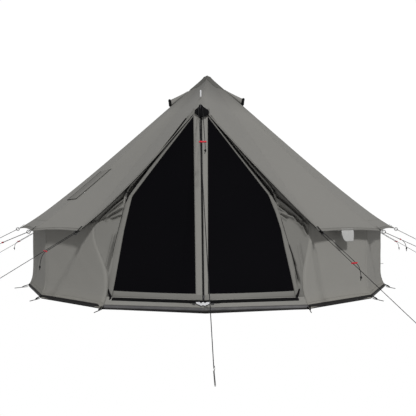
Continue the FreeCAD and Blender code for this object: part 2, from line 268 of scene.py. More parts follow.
@dataclass(frozen=True)
class Finish:
    """One material: its colours, gloss and surface pattern."""

    name: str
    colour: tuple[float, float, float]
    shade: tuple[float, float, float]
    pattern: Pattern = Pattern.WEAVE
    roughness: float = 0.85
    metallic: float = 0.0
    pitch: float = 0.0012
    relief: float = 0.0004
    tone_scale: float = 1.6
    contrast: float = 1.0
    dust_height: float = 0.12
    dust: float = 0.0
    sheen: float = 0.0
    thread_dark: float = 0.12
    gloss: float = 0.25
    # Painted shade: the colour darkens with height towards the peak, over the range below.
    high_tone: float = 0.0
    high_range: tuple[float, float] = (1.90, 2.42)
    dust_colour: tuple[float, float, float] = (0.16, 0.14, 0.11)

    def make(self, groups: Groups) -> Paint:
        """Build the material.

        Args:
            groups: The shared shader groups.

        Returns:
            The finished material.
        """
        material = bpy.data.materials.new(self.name)
        material.use_nodes = True
        tree = material.node_tree
        wire = Wiring(tree)
        shader = tree.nodes["Principled BSDF"]
        shader.inputs["Metallic"].default_value = self.metallic
        shader.inputs["Specular IOR Level"].default_value = self.gloss
        shader.inputs["Sheen Weight"].default_value = self.sheen
        where = tree.nodes.new("ShaderNodeTexCoord")
        age = tree.nodes.new("ShaderNodeGroup")
        age.node_tree = groups.ageing
        age.inputs["Scale"].default_value = self.tone_scale
        age.inputs["Contrast"].default_value = self.contrast
        age.inputs["Dust height"].default_value = self.dust_height
        wire.link(where.outputs["Object"], age.inputs["Vector"])
        height, mark = self.surface(wire, groups, where)
        base = wire.mixed(age.outputs["Tone"], self.shade, self.colour)
        thread = wire.math("MULTIPLY", mark, self.thread_dark)
        darker = tuple(c * 0.45 for c in self.shade)
        base = wire.mixed(thread, base, darker)
        if self.dust > 0:
            amount = wire.math("MULTIPLY", age.outputs["Dust"], self.dust)
            base = wire.mixed(amount, base, self.dust_colour)
        # Painted shade: darken the colour with height towards the top of the tent.
        if self.high_tone > 0:
            rise = tree.nodes.new("ShaderNodeMapRange")
            rise.inputs["From Min"].default_value, rise.inputs["From Max"].default_value = self.high_range
            rise.inputs["To Max"].default_value = self.high_tone
            wire.link(wire.split(where.outputs["Object"])["Z"], rise.inputs["Value"])
            base = wire.mixed(rise.outputs["Result"], base, darker)
        wire.link(base, shader.inputs["Base Color"])
        rough = wire.math("ADD", wire.math("MULTIPLY", age.outputs["Speck"], 0.12), self.roughness - 0.06)
        wire.link(rough, shader.inputs["Roughness"])
        bump = tree.nodes.new("ShaderNodeBump")
        bump.inputs["Distance"].default_value = self.relief
        bump.inputs["Strength"].default_value = 0.6
        wire.link(height, bump.inputs["Height"])
        wire.link(bump.outputs["Normal"], shader.inputs["Normal"])
        return material

    def surface(self, wire: Wiring, groups: Groups, where: bpy.types.Node) -> tuple[Outlet, Outlet]:
        """Relief of the pattern, and the mask of its dark lines.

        Args:
            wire: Calls that add nodes to it.
            groups: The shared shader groups.
            where: Texture coordinates.

        Returns:
            Outputs with the height and the mask.
        """
        if self.pattern in (Pattern.WEAVE, Pattern.NET, Pattern.BRAID):
            threads = wire.tree.nodes.new("ShaderNodeGroup")
            threads.node_tree = groups.threads
            turns = 2 * math.pi / self.pitch
            threads.inputs["Across"].default_value = turns
            threads.inputs["Along"].default_value = turns
            threads.inputs["Shift"].default_value = 1.0 if self.pattern is Pattern.BRAID else 0.0
            wire.link(where.outputs["UV"], threads.inputs["Vector"])
            return threads.outputs["Height"], threads.outputs["Gap"]
        stretch = wire.tree.nodes.new("ShaderNodeMapping")
        along = 0.04 if self.pattern is Pattern.BRUSHED else 1.0
        stretch.inputs["Scale"].default_value = (1.0, 1.0, along)
        wire.link(where.outputs["Object"], stretch.inputs["Vector"])
        grain = wire.noise(stretch.outputs["Vector"], 1.0 / self.pitch, 3.0)
        return grain, grain


FINISHES = {
    # Roof and peak carry painted shade that darkens them towards the top.
    "roof": Finish("canvas_roof", (0.172, 0.168, 0.156), (0.148, 0.145, 0.134), sheen=0.05, tone_scale=0.9,
                   high_tone=0.95),
    # Wall colour raised a little: painted light that offsets the darker shading of the left wall.
    "wall": Finish("canvas_wall", (0.166, 0.162, 0.150), (0.145, 0.142, 0.131), dust=0.35),
    "hem": Finish("canvas_hem", (0.158, 0.154, 0.143), (0.136, 0.133, 0.123), tone_scale=2.0),
    # The peak's darker colours are painted shade, matching the shaded top of the roof.
    "peak": Finish("canvas_peak", (0.128, 0.125, 0.115), (0.108, 0.106, 0.098), tone_scale=6.0,
                   high_tone=0.80),
    # Darker copy of the canvas: painted shade on the doorway canvas, its strip edges and foot bands.
    "front": Finish("canvas_front", (0.130, 0.127, 0.118), (0.106, 0.104, 0.096), tone_scale=4.0),
    "flap": Finish("stove_cover", (0.150, 0.147, 0.137), (0.130, 0.127, 0.118), tone_scale=3.0),
    "trim": Finish("canvas_trim", (0.165, 0.161, 0.150), (0.140, 0.137, 0.127), tone_scale=4.0),
    "seam": Finish("canvas_seam", (0.105, 0.103, 0.095), (0.085, 0.083, 0.077), tone_scale=4.0),
    "net": Finish("insect_net", (0.0030, 0.0028, 0.0036), (0.002, 0.002, 0.0025), Pattern.NET,
                  roughness=0.95, pitch=0.0024, relief=0.0003, thread_dark=0.3, gloss=0.02),
    "sheet": Finish("groundsheet_vinyl", (0.0075, 0.0075, 0.0080), (0.005, 0.005, 0.0055),
                    roughness=0.6, pitch=0.004, relief=0.0002, dust=0.05, gloss=0.12),
    "vinyl": Finish("threshold_vinyl", (0.070, 0.068, 0.070), (0.034, 0.033, 0.035),
                    roughness=0.55, pitch=0.003, relief=0.0003, tone_scale=3.0, contrast=1.2, gloss=0.3),
    "web": Finish("black_webbing", (0.0045, 0.0045, 0.0048), (0.003, 0.003, 0.0033), pitch=0.003,
                  relief=0.0006, gloss=0.06),
    "rope": Finish("guy_rope_braid", (0.022, 0.022, 0.023), (0.010, 0.010, 0.011), Pattern.BRAID,
                   roughness=0.8, pitch=0.0035, relief=0.0006, tone_scale=60.0, thread_dark=0.5, gloss=0.1),
    "steel": Finish("galvanised_steel", (0.46, 0.46, 0.45), (0.30, 0.30, 0.30), Pattern.BRUSHED,
                    roughness=0.38, metallic=1.0, pitch=0.002, relief=0.0001, tone_scale=30.0),
    "dark_steel": Finish("black_steel", (0.030, 0.030, 0.032), (0.018, 0.018, 0.019), Pattern.GRAIN,
                         roughness=0.45, pitch=0.002, relief=0.0001, tone_scale=30.0),
    "red": Finish("red_anodised", (0.52, 0.012, 0.028), (0.38, 0.008, 0.020), Pattern.GRAIN,
                  roughness=0.36, metallic=0.35, pitch=0.0015, relief=0.0001, tone_scale=60.0),
    "plastic": Finish("black_plastic", (0.010, 0.010, 0.011), (0.007, 0.007, 0.008), Pattern.GRAIN,
                      roughness=0.5, pitch=0.001, relief=0.0001, tone_scale=30.0),
    "rubber": Finish("black_rubber", (0.014, 0.014, 0.014), (0.010, 0.010, 0.010), Pattern.GRAIN,
                     roughness=0.8, pitch=0.003, relief=0.0003, tone_scale=20.0),
    "label": Finish("woven_label", (0.34, 0.34, 0.335), (0.25, 0.25, 0.245), pitch=0.0016, tone_scale=30.0),
    "silver": Finish("reflective_tape", (0.46, 0.46, 0.47), (0.34, 0.34, 0.35), Pattern.GRAIN,
                     roughness=0.35, pitch=0.004, relief=0.0004, tone_scale=24.0)}


# ---------------- mesh helpers
def polar(azimuth: float, radius: float, height: float = 0.0) -> Vector:
    """Point at an azimuth in degrees from the door (-Y) towards +X."""
    turn = math.radians(azimuth)
    return Vector((radius * math.sin(turn), -radius * math.cos(turn), height))


def outward(point: Vector) -> Vector:
    """Level direction from the tent's middle through a point."""
    return Vector((point.x, point.y, 0.0)).normalized()


def arch(share: float) -> float:
    """0 at both ends of a span and 1 in its middle."""
    return 4.0 * share * (1.0 - share)


def uneven(x: float, y: float, z: float) -> float:
    """Smooth unevenness between about -1 and 1, read at three numbers."""
    return noise.noise(Vector((x, y, z)))


def ease(low: float, high: float, value: float) -> float:
    """Smooth step from 0 at low to 1 at high."""
    share = min(1.0, max(0.0, (value - low) / (high - low)))
    return share * share * (3.0 - 2.0 * share)


def add_object(name: str, mesh: bpy.types.Mesh, material: Paint | None) -> Piece:
    """Link a mesh as an object and give it a material.

    Args:
        name: Name of the object.
        mesh: Its mesh.
        material: Material of the piece.

    Returns:
        The new object.
    """
    thing = bpy.data.objects.new(name, mesh)
    bpy.context.scene.collection.objects.link(thing)
    if material is not None:
        mesh.materials.append(material)
    return thing


def grid(name: str, rows: int, columns: int, place: Place, size: tuple[float, float],
         material: Paint | None) -> Piece:
    """Sheet of quads over a rule.

    Args:
        name: Name of the object.
        rows: Number of quads along the sheet.
        columns: Number of quads across it.
        place: Gives the point at a share across and a share along.
        size: Width and length in metres, for the UV map.
        material: Material of every face.

    Returns:
        The new object, smooth shaded.
    """
    points = [place(c / columns, r / rows) for r in range(rows + 1) for c in range(columns + 1)]
    step = columns + 1
    faces = [(r * step + c, r * step + c + 1, (r + 1) * step + c + 1, (r + 1) * step + c)
             for r in range(rows) for c in range(columns)]
    mesh = bpy.data.meshes.new(name)
    mesh.from_pydata(points, [], faces)
    layer = mesh.uv_layers.new(name="UVMap")
    for loop in mesh.loops:
        r, c = divmod(loop.vertex_index, step)
        layer.data[loop.index].uv = (c / columns * size[0], r / rows * size[1])
    mesh.shade_smooth()
    return add_object(name, mesh, material)


def place_on(piece: Piece, slot: str, body: str = TENT) -> None:
    """Tie a piece to its body."""
    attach(piece, body)


def area_of(thing: Piece) -> float:
    """Surface of an object's mesh in square metres."""
    return sum(face.area for face in thing.data.polygons)


def built_object(name: str, built: bmesh.types.BMesh, material: Paint | None) -> Piece:
    """Object from a mesh under construction, which is then freed."""
    mesh = bpy.data.meshes.new(name)
    built.to_mesh(mesh)
    built.free()
    return add_object(name, mesh, material)


def join(name: str, things: Sequence[Piece]) -> Piece:
    """One object from several, their materials kept.

    Args:
        name: Name of the object.
        things: The objects; they are used up.

    Returns:
        The joined object.
    """
    built = bmesh.new()
    materials: list[Paint] = []
    for thing in things:
        slots = []
        for material in thing.data.materials:
            if material not in materials:
                materials.append(material)
            slots.append(materials.index(material))
        first = len(built.faces)
        built.from_mesh(thing.data)
        built.faces.ensure_lookup_table()
        for face in built.faces[first:]:
            face.material_index = slots[face.material_index] if slots else 0
    for thing in things:
        bpy.data.objects.remove(thing)
    joined = built_object(name, built, None)
    for material in materials:
        joined.data.materials.append(material)
    return joined


def freeze(thing: Piece) -> Piece:
    """Turn an object's modifiers into plain mesh.

    Args:
        thing: The object.

    Returns:
        The same object.
    """
    bpy.context.view_layer.update()
    graph = bpy.context.evaluated_depsgraph_get()
    mesh = bpy.data.meshes.new_from_object(thing.evaluated_get(graph))
    thing.modifiers.clear()
    thing.data = mesh
    return thing


def thicken(thing: Piece, thickness: float, offset: float = -1.0) -> Piece:
    """Give a sheet its thickness, behind its face by default."""
    wall = thing.modifiers.new("thickness", "SOLIDIFY")
    wall.thickness = thickness
    wall.offset = offset
    return freeze(thing)


def frame_along(points: Sequence[Vector]) -> list[tuple[Vector, Vector]]:
    """Two directions square to a line at each of its points, without twist.

    Args:
        points: Points of the line.

    Returns:
        A pair of directions for each point.
    """
    frames = []
    last = None
    for index in range(len(points)):
        ahead = points[min(index + 1, len(points) - 1)] - points[max(index - 1, 0)]
        ahead.normalize()
        if last is None:
            guess = UP if abs(ahead.z) < 0.9 else SIDEWAYS
            last = ahead.cross(guess).normalized()
        across = (last - ahead * last.dot(ahead)).normalized()
        last = across
        frames.append((across, ahead.cross(across)))
    return frames


def tube(name: str, points: Sequence[Vector], radius: float | Callable[[float], float],
         material: Paint, sides: int = 8, flat: float = 1.0) -> Piece:
    """Round or flattened bar along a line, closed at both ends.

    Args:
        name: Name of the object.
        points: The line.
        radius: Radius in metres, or a rule that gives it at a share of the line.
        material: Material of the bar.
        sides: Faces round the bar.
        flat: Height of the section as a share of its width.

    Returns:
        The new object.
    """
    frames = frame_along(points)
    built = bmesh.new()
    layer = built.loops.layers.uv.new("UVMap")
    rings = []
    run = 0.0
    runs = []
    for index, point in enumerate(points):
        run += (point - points[index - 1]).length if index else 0.0
        runs.append(run)
        share = index / (len(points) - 1)
        size = radius(share) if callable(radius) else radius
        across, up = frames[index]
        ring = []
        for step in range(sides):
            turn = 2 * math.pi * step / sides
            offset = across * (math.cos(turn) * size) + up * (math.sin(turn) * size * flat)
            ring.append(built.verts.new(point + offset))
        rings.append((ring, size))
    for index in range(len(rings) - 1):
        (low, size), (high, _) = rings[index], rings[index + 1]
        girth = 2 * math.pi * size
        for step in range(sides):
            after = (step + 1) % sides
            face = built.faces.new((low[step], low[after], high[after], high[step]))
            face.smooth = True
            corners = ((step, index), (step + 1, index), (step + 1, index + 1), (step, index + 1))
            for loop, (turn, along) in zip(face.loops, corners):
                loop[layer].uv = (turn / sides * girth, runs[along])
    built.faces.new(list(reversed(rings[0][0])))
    built.faces.new(rings[-1][0])
    return built_object(name, built, material)


def slab(name: str, centre: Vector, along: Vector, across: Vector, size: tuple[float, float, float],
         material: Paint, rounding: float = 0.0) -> Piece:
    """Box with rounded edges, its length and width along two directions.

    Args:
        name: Name of the object.
        centre: Middle of the piece.
        along: Direction of its length.
        across: Direction of its width.
        size: Length, width and thickness.
        material: Material of the piece.
        rounding: Radius of its edges.

    Returns:
        The new object.
    """
    u = along.normalized()
    n = u.cross(across).normalized()
    w = n.cross(u)
    built = bmesh.new()
    bmesh.ops.create_cube(built, size=1.0)
    layer = built.loops.layers.uv.new("UVMap")
    for vert in built.verts:
        x, y, z = vert.co
        vert.co = centre + u * (x * size[0]) + w * (y * size[1]) + n * (z * size[2])
    for face in built.faces:
        for loop in face.loops:
            local = loop.vert.co - centre
            loop[layer].uv = (local.dot(w), local.dot(u))
    thing = built_object(name, built, material)
    if rounding > 0:
        bevel = thing.modifiers.new("rounding", "BEVEL")
        bevel.width = rounding
        bevel.segments = 2
        bevel.limit_method = "ANGLE"
        freeze(thing)
    return thing


def ring(name: str, centre: Vector, axis: Vector, radius: float, wire: float,
         material: Paint) -> Piece:
    """Wire ring about an axis.

    Args:
        name: Name of the object.
        centre: Middle of the piece.
        axis: Direction of its axis.
        radius: Radius of the ring.
        wire: Radius of its wire.
        material: Material of the piece.

    Returns:
        The new object.
    """
    across, up = frame_along([centre, centre + axis])[0]
    steps = 28
    points = [centre + (across * math.cos(2 * math.pi * i / steps)
                        + up * math.sin(2 * math.pi * i / steps)) * radius
              for i in range(steps + 1)]
    return tube(name, points, wire, material)


@dataclass(frozen=True)
class Line:
    """A smooth line through a few points, read by its share of length."""

    points: tuple[Vector, ...]

    def at(self, share: float) -> Vector:
        """Point at a share of the line's length.

        Args:
            share: Share of the length.

        Returns:
            The point.
        """
        spans = [(b - a).length for a, b in zip(self.points, self.points[1:])]
        goal = min(1.0, max(0.0, share)) * sum(spans)
        for index, span in enumerate(spans):
            if goal <= span or index == len(spans) - 1:
                return self.curve(index, min(1.0, goal / span))
            goal -= span
        return self.points[-1].copy()

    def sampled(self, spans: int) -> list[Vector]:
        """Evenly spaced points, one more than the spans."""
        return [self.at(i / spans) for i in range(spans + 1)]

    def curve(self, index: int, t: float) -> Vector:
        """Catmull-Rom point in one span.

        Args:
            index: Number of the span.
            t: Share of the span.

        Returns:
            The point.
        """
        pts = self.points
        b, c = pts[index], pts[index + 1]
        a = pts[index - 1] if index else b * 2 - c
        d = pts[index + 2] if index + 2 < len(pts) else c * 2 - b
        return 0.5 * ((b * 2) + (c - a) * t + (a * 2 - b * 5 + c * 4 - d) * t * t
                      + (b * 3 - a - c * 3 + d) * t ** 3)


# ---------------- the tent's own shape
@dataclass(frozen=True)
class TentShape:
    """Sizes of the pitched tent in metres, and the surfaces they give."""

    sides: int = 14
    wall_radius: float = 1.950
    foot_radius: float = 2.004
    wall_top: float = 0.738
    peak_height: float = 2.424
    peak_radius: float = 0.020
    wall_line_height: float = 0.748
    eave_radius: float = 2.092
    eave_height: float = 0.645
    door_eave_height: float = 0.658
    door_eave_left: float = 31.0
    door_eave_right: float = 27.2
    apex: tuple[float, float, float] = (-0.045, -1.800, 1.717)
    front_foot: tuple[float, float, float] = (-0.020, -1.950, 0.006)
    eave_lift_from: float = 1.80
    sag_left: float = 0.054
    sag_right: float = 0.022
    scallop: float = 0.018
    seam_sag: float = 0.046
    lean_left: tuple[float, float] = (-0.6, 3.6)
    lean_right: tuple[float, float] = (-0.9, 1.1)

    @property
    def step(self) -> float:
        """Angle of one side of the floor, in degrees."""
        return 360.0 / self.sides

    @property
    def slope(self) -> float:
        """Fall of the roof for one metre outwards."""
        return (self.peak_height - self.wall_line_height) / self.wall_radius

    def seam_azimuth(self, k: int) -> float:
        """Azimuth of roof seam k.

        Args:
            k: Number of the seam.

        Returns:
            Azimuth in degrees.
        """
        if k == 1:
            return self.door_eave_right
        if k == self.sides - 1:
            return 360.0 - self.door_eave_left
        return self.step * k

    def eave_corner(self, k: int) -> Vector:
        """Pulled-out corner k of the eave."""
        beside_door = k in (1, self.sides - 1)
        height = self.door_eave_height if beside_door else self.eave_height
        return polar(self.seam_azimuth(k), self.eave_radius, height)

    def seam(self, k: int, t: float) -> Vector:
        """Point of roof seam k at a share of its way down; seam 0 is the ridge over the door.

        Args:
            k: Number of the seam.
            t: Share of the way down the roof.

        Returns:
            The point.
        """
        k %= self.sides
        if k == 0:
            top = polar(0.0, self.peak_radius, self.peak_height - self.slope * self.peak_radius)
            point = top.lerp(Vector(self.apex), t)
            point.z -= 0.012 * arch(t)
            return point
        reach = self.peak_radius + (self.eave_radius - self.peak_radius) * t
        target = self.eave_corner(k).z
        straight = self.peak_height - self.slope * self.eave_radius
        span = self.eave_radius - self.eave_lift_from
        over = max(0.0, reach - self.eave_lift_from) / span
        height = self.peak_height - self.slope * reach + (target - straight) * over * over
        if k not in (1, self.sides - 1):
            height -= self.seam_sag * arch(t ** 1.7)
        return polar(self.seam_azimuth(k), reach, height)

    def is_front(self, k: int) -> bool:
        """Whether roof panel k is one of the two beside the ridge."""
        return k % self.sides in (0, self.sides - 1)

    def roof(self, around: float, t: float) -> Vector:
        """Point of the roof cloth.

        Args:
            around: Seam number, with the share of the panel after it.
            t: Share of the way from the peak to the edge.

        Returns:
            The point on the cloth's outer side.
        """
        k = min(int(around), self.sides - 1)
        s = around - k
        point = self.seam(k, t).lerp(self.seam(k + 1, t), s)
        belly = arch(s)
        if self.is_front(k):
            out = s if k == 0 else 1.0 - s
            sag = belly * (0.75 + 0.5 * out) * (self.sag_right if k == 0 else self.sag_left)
            point.z -= sag * t ** 4
            point.z -= 0.010 * belly * arch(t)
            return point
        hub = Vector((0.0, 0.0, point.z))
        inward = (hub - point).normalized()
        point += inward * (0.010 * belly * arch(t))
        peak = Vector((0.0, 0.0, self.peak_height))
        point += (peak - point).normalized() * (self.scallop * belly * t ** 14)
        return point

    def roof_on(self, around: float, t: float, lift: float) -> Vector:
        """Point a little above the roof cloth.

        Args:
            around: Seam number, with the share of the panel after it.
            t: Share of the way down the roof.
            lift: Height above the cloth.

        Returns:
            The point.
        """
        small = 0.004
        here = self.roof(around, t)
        after = around + small if around + small <= self.sides else around - small
        across = (self.roof(after, t) - here) * (1.0 if after > around else -1.0)
        down = self.roof(around, min(1.0, t + small)) - self.roof(around, max(0.0, t - small))
        normal = down.cross(across).normalized()
        if normal.z < 0:
            normal.negate()
        return here + normal * lift

    def hem_start(self, around: float) -> float:
        """Share down the roof where the hem begins."""
        near = min(abs(around), abs(self.sides - around))
        return 0.985 - 0.014 * (1.0 - ease(0.6, 1.0, near))

    def wall_corner(self, k: int, height: float) -> Vector:
        """Corner line k of the side wall.

        Args:
            k: Number of the corner, from the door towards +X.
            height: Height in metres.

        Returns:
            The point.
        """
        azimuth = self.step * k
        share = ease(0.26, 0.64, height)
        low = ease(0.0, 0.20, height)
        if k == 1:
            azimuth += low * (self.lean_right[0] * (1 - share) + self.lean_right[1] * share)
        if k == self.sides - 1:
            azimuth -= low * (self.lean_left[0] * (1 - share) + self.lean_left[1] * share)
        flare = math.exp(-((height / 0.075) ** 1.5))
        radius = self.wall_radius + (self.foot_radius - self.wall_radius) * flare
        return polar(azimuth, radius, height)

    def wall(self, around: float, share: float) -> Vector:
        """Point of the side wall, from its foot (0) to the roof (1).

        Args:
            around: Seam number, with the share of the panel after it.
            share: Share of the height.

        Returns:
            The point.
        """
        k = min(int(around), self.sides - 2)
        s = around - k
        belly = arch(s)
        foot = 0.007 + 0.015 * belly
        height = foot + (self.wall_top - foot) * share
        point = self.wall_corner(k, height).lerp(self.wall_corner(k + 1, height), s)
        out = outward(point)
        point += out * (0.010 * belly * math.sin(math.pi * share))
        ripple = uneven(around * 3.1, share * 2.3, 4.7)
        crease = uneven(around * 9.0 + share * 5.0, share * 1.5, 9.1)
        point += out * (0.006 * ripple + 0.003 * crease) * math.sin(math.pi * min(1.0, share * 1.05))
        return point


# ---------------- guy ropes
@dataclass(frozen=True)
class Guy:
    """One guy rope: the roof seam it pulls and where its peg stands."""

    name: str
    corner: int
    peg_azimuth: float
    peg_radius: float
    slide_at: float
    tail: float


@dataclass
class GuyLines:
    """The fourteen ropes with their straps, knots and pegs."""

    shape: TentShape
    finishes: Palette
    diameter: float = 0.005
    strand_gap: float = 0.036
    peg_height: float = 0.016
    ring_out: float = 0.034
    strap_width: float = 0.010
    guys: tuple[Guy, ...] = (
        Guy("door", 0, 1.25, 3.550, 0.475, 0.030), Guy("01", 1, 27.9, 3.168, 0.415, 0.075),
        Guy("02", 2, 60.0, 3.400, 0.150, 0.060), Guy("03", 3, 77.1, 3.300, 0.420, 0.060),
        Guy("11", 11, -77.1, 3.300, 0.420, 0.060), Guy("12", 12, -64.0, 3.450, 0.240, 0.060),
        Guy("13", 13, -37.8, 3.227, 0.289, 0.094),
        *(Guy(f"{k:02d}", k, 360.0 / 14 * k, 3.300, 0.400, 0.060) for k in range(4, 11)))

    def anchor(self, guy: Guy) -> Vector:
        """Point of the roof that the rope pulls on."""
        return Vector(self.shape.apex) if guy.corner == 0 else self.shape.eave_corner(guy.corner)

    def pull(self, guy: Guy) -> Vector:
        """Direction from the roof to the peg."""
        peg = polar(guy.peg_azimuth, guy.peg_radius, self.peg_height)
        return (peg - self.anchor(guy)).normalized()

    def route(self, guy: Guy) -> list[Vector]:
        """Centre line of a rope, from its peg through the ring and the tensioner to its tail.

        Args:
            guy: The guy rope.

        Returns:
            Corners of the rope, from the peg to the tail.
        """
        pull = self.pull(guy)
        half = pull.cross(UP).normalized() * (self.strand_gap / 2)
        peg = polar(guy.peg_azimuth, guy.peg_radius, self.peg_height)
        loop = self.anchor(guy) + pull * self.ring_out
        bend = loop + pull * (guy.slide_at + 0.030) - half
        return [peg + half, loop + half, loop - half, bend,
                bend + pull * 0.026 - UP * (guy.tail * 0.52), bend + pull * 0.030 - UP * guy.tail]

    def eased(self, route: Sequence[Vector]) -> list[Vector]:
        """The route with extra points that keep its corners tight.

        Args:
            route: Corners of the rope.

        Returns:
            Control points of the rope.
        """
        peg, near, far, bend, drop, tail = route
        turn = 6 * self.diameter
        rise = (drop - bend).length
        return [peg, near + (peg - near).normalized() * turn, near, far,
                far + (bend - far).normalized() * turn, bend + (far - bend).normalized() * rise, bend, drop,
                tail]

    def rope(self, guy: Guy) -> Piece:
        """Rope as a smooth curve with a round section.

        Args:
            guy: The guy rope.

        Returns:
            The new object.
        """
        curve = bpy.data.curves.new(f"rope_{guy.name}", "CURVE")
        curve.dimensions = "3D"
        curve.bevel_depth = self.diameter / 2
        curve.bevel_resolution = 3
        curve.resolution_u = 8
        curve.use_fill_caps = True
        spline = curve.splines.new("NURBS")
        points = self.eased(self.route(guy))
        spline.points.add(len(points) - 1)
        for target, point in zip(spline.points, points):
            target.co = (*point, 1.0)
        spline.order_u = 3
        spline.use_endpoint_u = True
        thing = bpy.data.objects.new(curve.name, curve)
        bpy.context.scene.collection.objects.link(thing)
        curve.materials.append(self.finishes["rope"])
        return thing

    def knot(self, guy: Guy) -> Piece:
        """Overhand knot with a short frayed end at the rope's tail.

        Args:
            guy: The guy rope.

        Returns:
            The new object.
        """
        centre = self.route(guy)[-1]
        across = self.pull(guy).cross(UP).normalized()
        points = []
        for step in range(41):
            turn = 2 * math.pi * step / 40
            reach = 0.0058 * (0.7 + 0.3 * math.cos(3 * turn))
            points.append(centre + across * (reach * math.cos(2 * turn) * 1.2)
                          + UP * (reach * math.sin(2 * turn) * 1.5)
                          + across.cross(UP) * (0.004 * math.sin(3 * turn)))
        loop = tube("loop", points, 0.0027, self.finishes["rope"])
        end = [centre, centre - UP * 0.012 + across * 0.002, centre - UP * 0.024 + across * 0.004]
        stub = tube("stub", end, lambda share: 0.0025 + 0.0008 * share, self.finishes["rope"])
        return join(f"rope_knot_{guy.name}", [loop, stub])

    def strap(self, guy: Guy) -> Piece:
        """Webbing sewn to the roof's corner, with its loop round the ring.

        Args:
            guy: The guy rope.

        Returns:
            The new object.
        """
        pull = self.pull(guy)
        corner = self.anchor(guy)
        inward = Vector((-corner.x, -corner.y, 0.0)).normalized()
        slope = (inward + UP * self.shape.slope * 0.9).normalized()
        if guy.corner == 0:
            slope = (Vector((0.0, 0.0, self.shape.peak_height)) - corner).normalized()
        up = UP * 0.004
        ring_far = corner + pull * (self.ring_out - 0.012)
        if guy.corner == 0:
            start = [corner - UP * 0.060 - pull * 0.02, corner - UP * 0.030]
        else:
            start = [corner + slope * 0.060 + up, corner + slope * 0.03 + up]
        points = [*start, corner + up * 1.2,
                  ring_far + up * 1.4, ring_far + pull * 0.005, ring_far - up * 1.2, corner - up * 1.5,
                  corner - up * 2.4 - pull * 0.02]
        line = Line(tuple(points)).sampled(24)
        across = pull.cross(UP).normalized()

        def place(u: float, v: float) -> Vector:
            """Point across and along the webbing."""
            share = v * (len(line) - 1)
            index = min(int(share), len(line) - 2)
            return line[index].lerp(line[index + 1],
                                    share - index) + across * ((u * 2 - 1) * self.strap_width)

        long = sum((b - a).length for a, b in zip(line, line[1:]))
        sheet = grid(f"guy_strap_{guy.name}", len(line) - 1, 4, place, (self.strap_width * 2, long),
                     self.finishes["web"])
        return thicken(sheet, 0.0022, 0.0)

    def peg_hook(self, guy: Guy) -> Piece:
        """Bent hook on the head of a guy peg, with the rope's loop in it.

        Args:
            guy: The guy rope.

        Returns:
            The new object.
        """
        flat = outward(self.pull(guy))
        side = flat.cross(UP)
        start = self.route(guy)[0] + flat * 0.004 - UP * 0.008
        points = [start + flat * (0.012 * math.sin(a)) + UP * (0.010 * (1 - math.cos(a))) - side * 0.002
                  for a in (i * math.pi * 1.25 / 12 for i in range(13))]
        return tube(f"peg_hook_{guy.name}", points, 0.0032, self.finishes["steel"])

    def build(self) -> None:
        """Make and place every guy line."""
        for guy in self.guys:
            route = self.route(guy)
            rope = self.rope(guy)
            knot, strap, hook = self.knot(guy), self.strap(guy), self.peg_hook(guy)
            for piece, slot in ((rope, "rope"), (knot, "rope"), (strap, "rope"), (hook, "steel_wire")):
                place_on(piece, slot)
            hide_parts(f"guy_rope_{guy.name}")
            length = sum((b - a).length for a, b in zip(route, route[1:]))
            tuple(route[0])
            LOG.info("guy rope %s: %.3f m", guy.name, length)


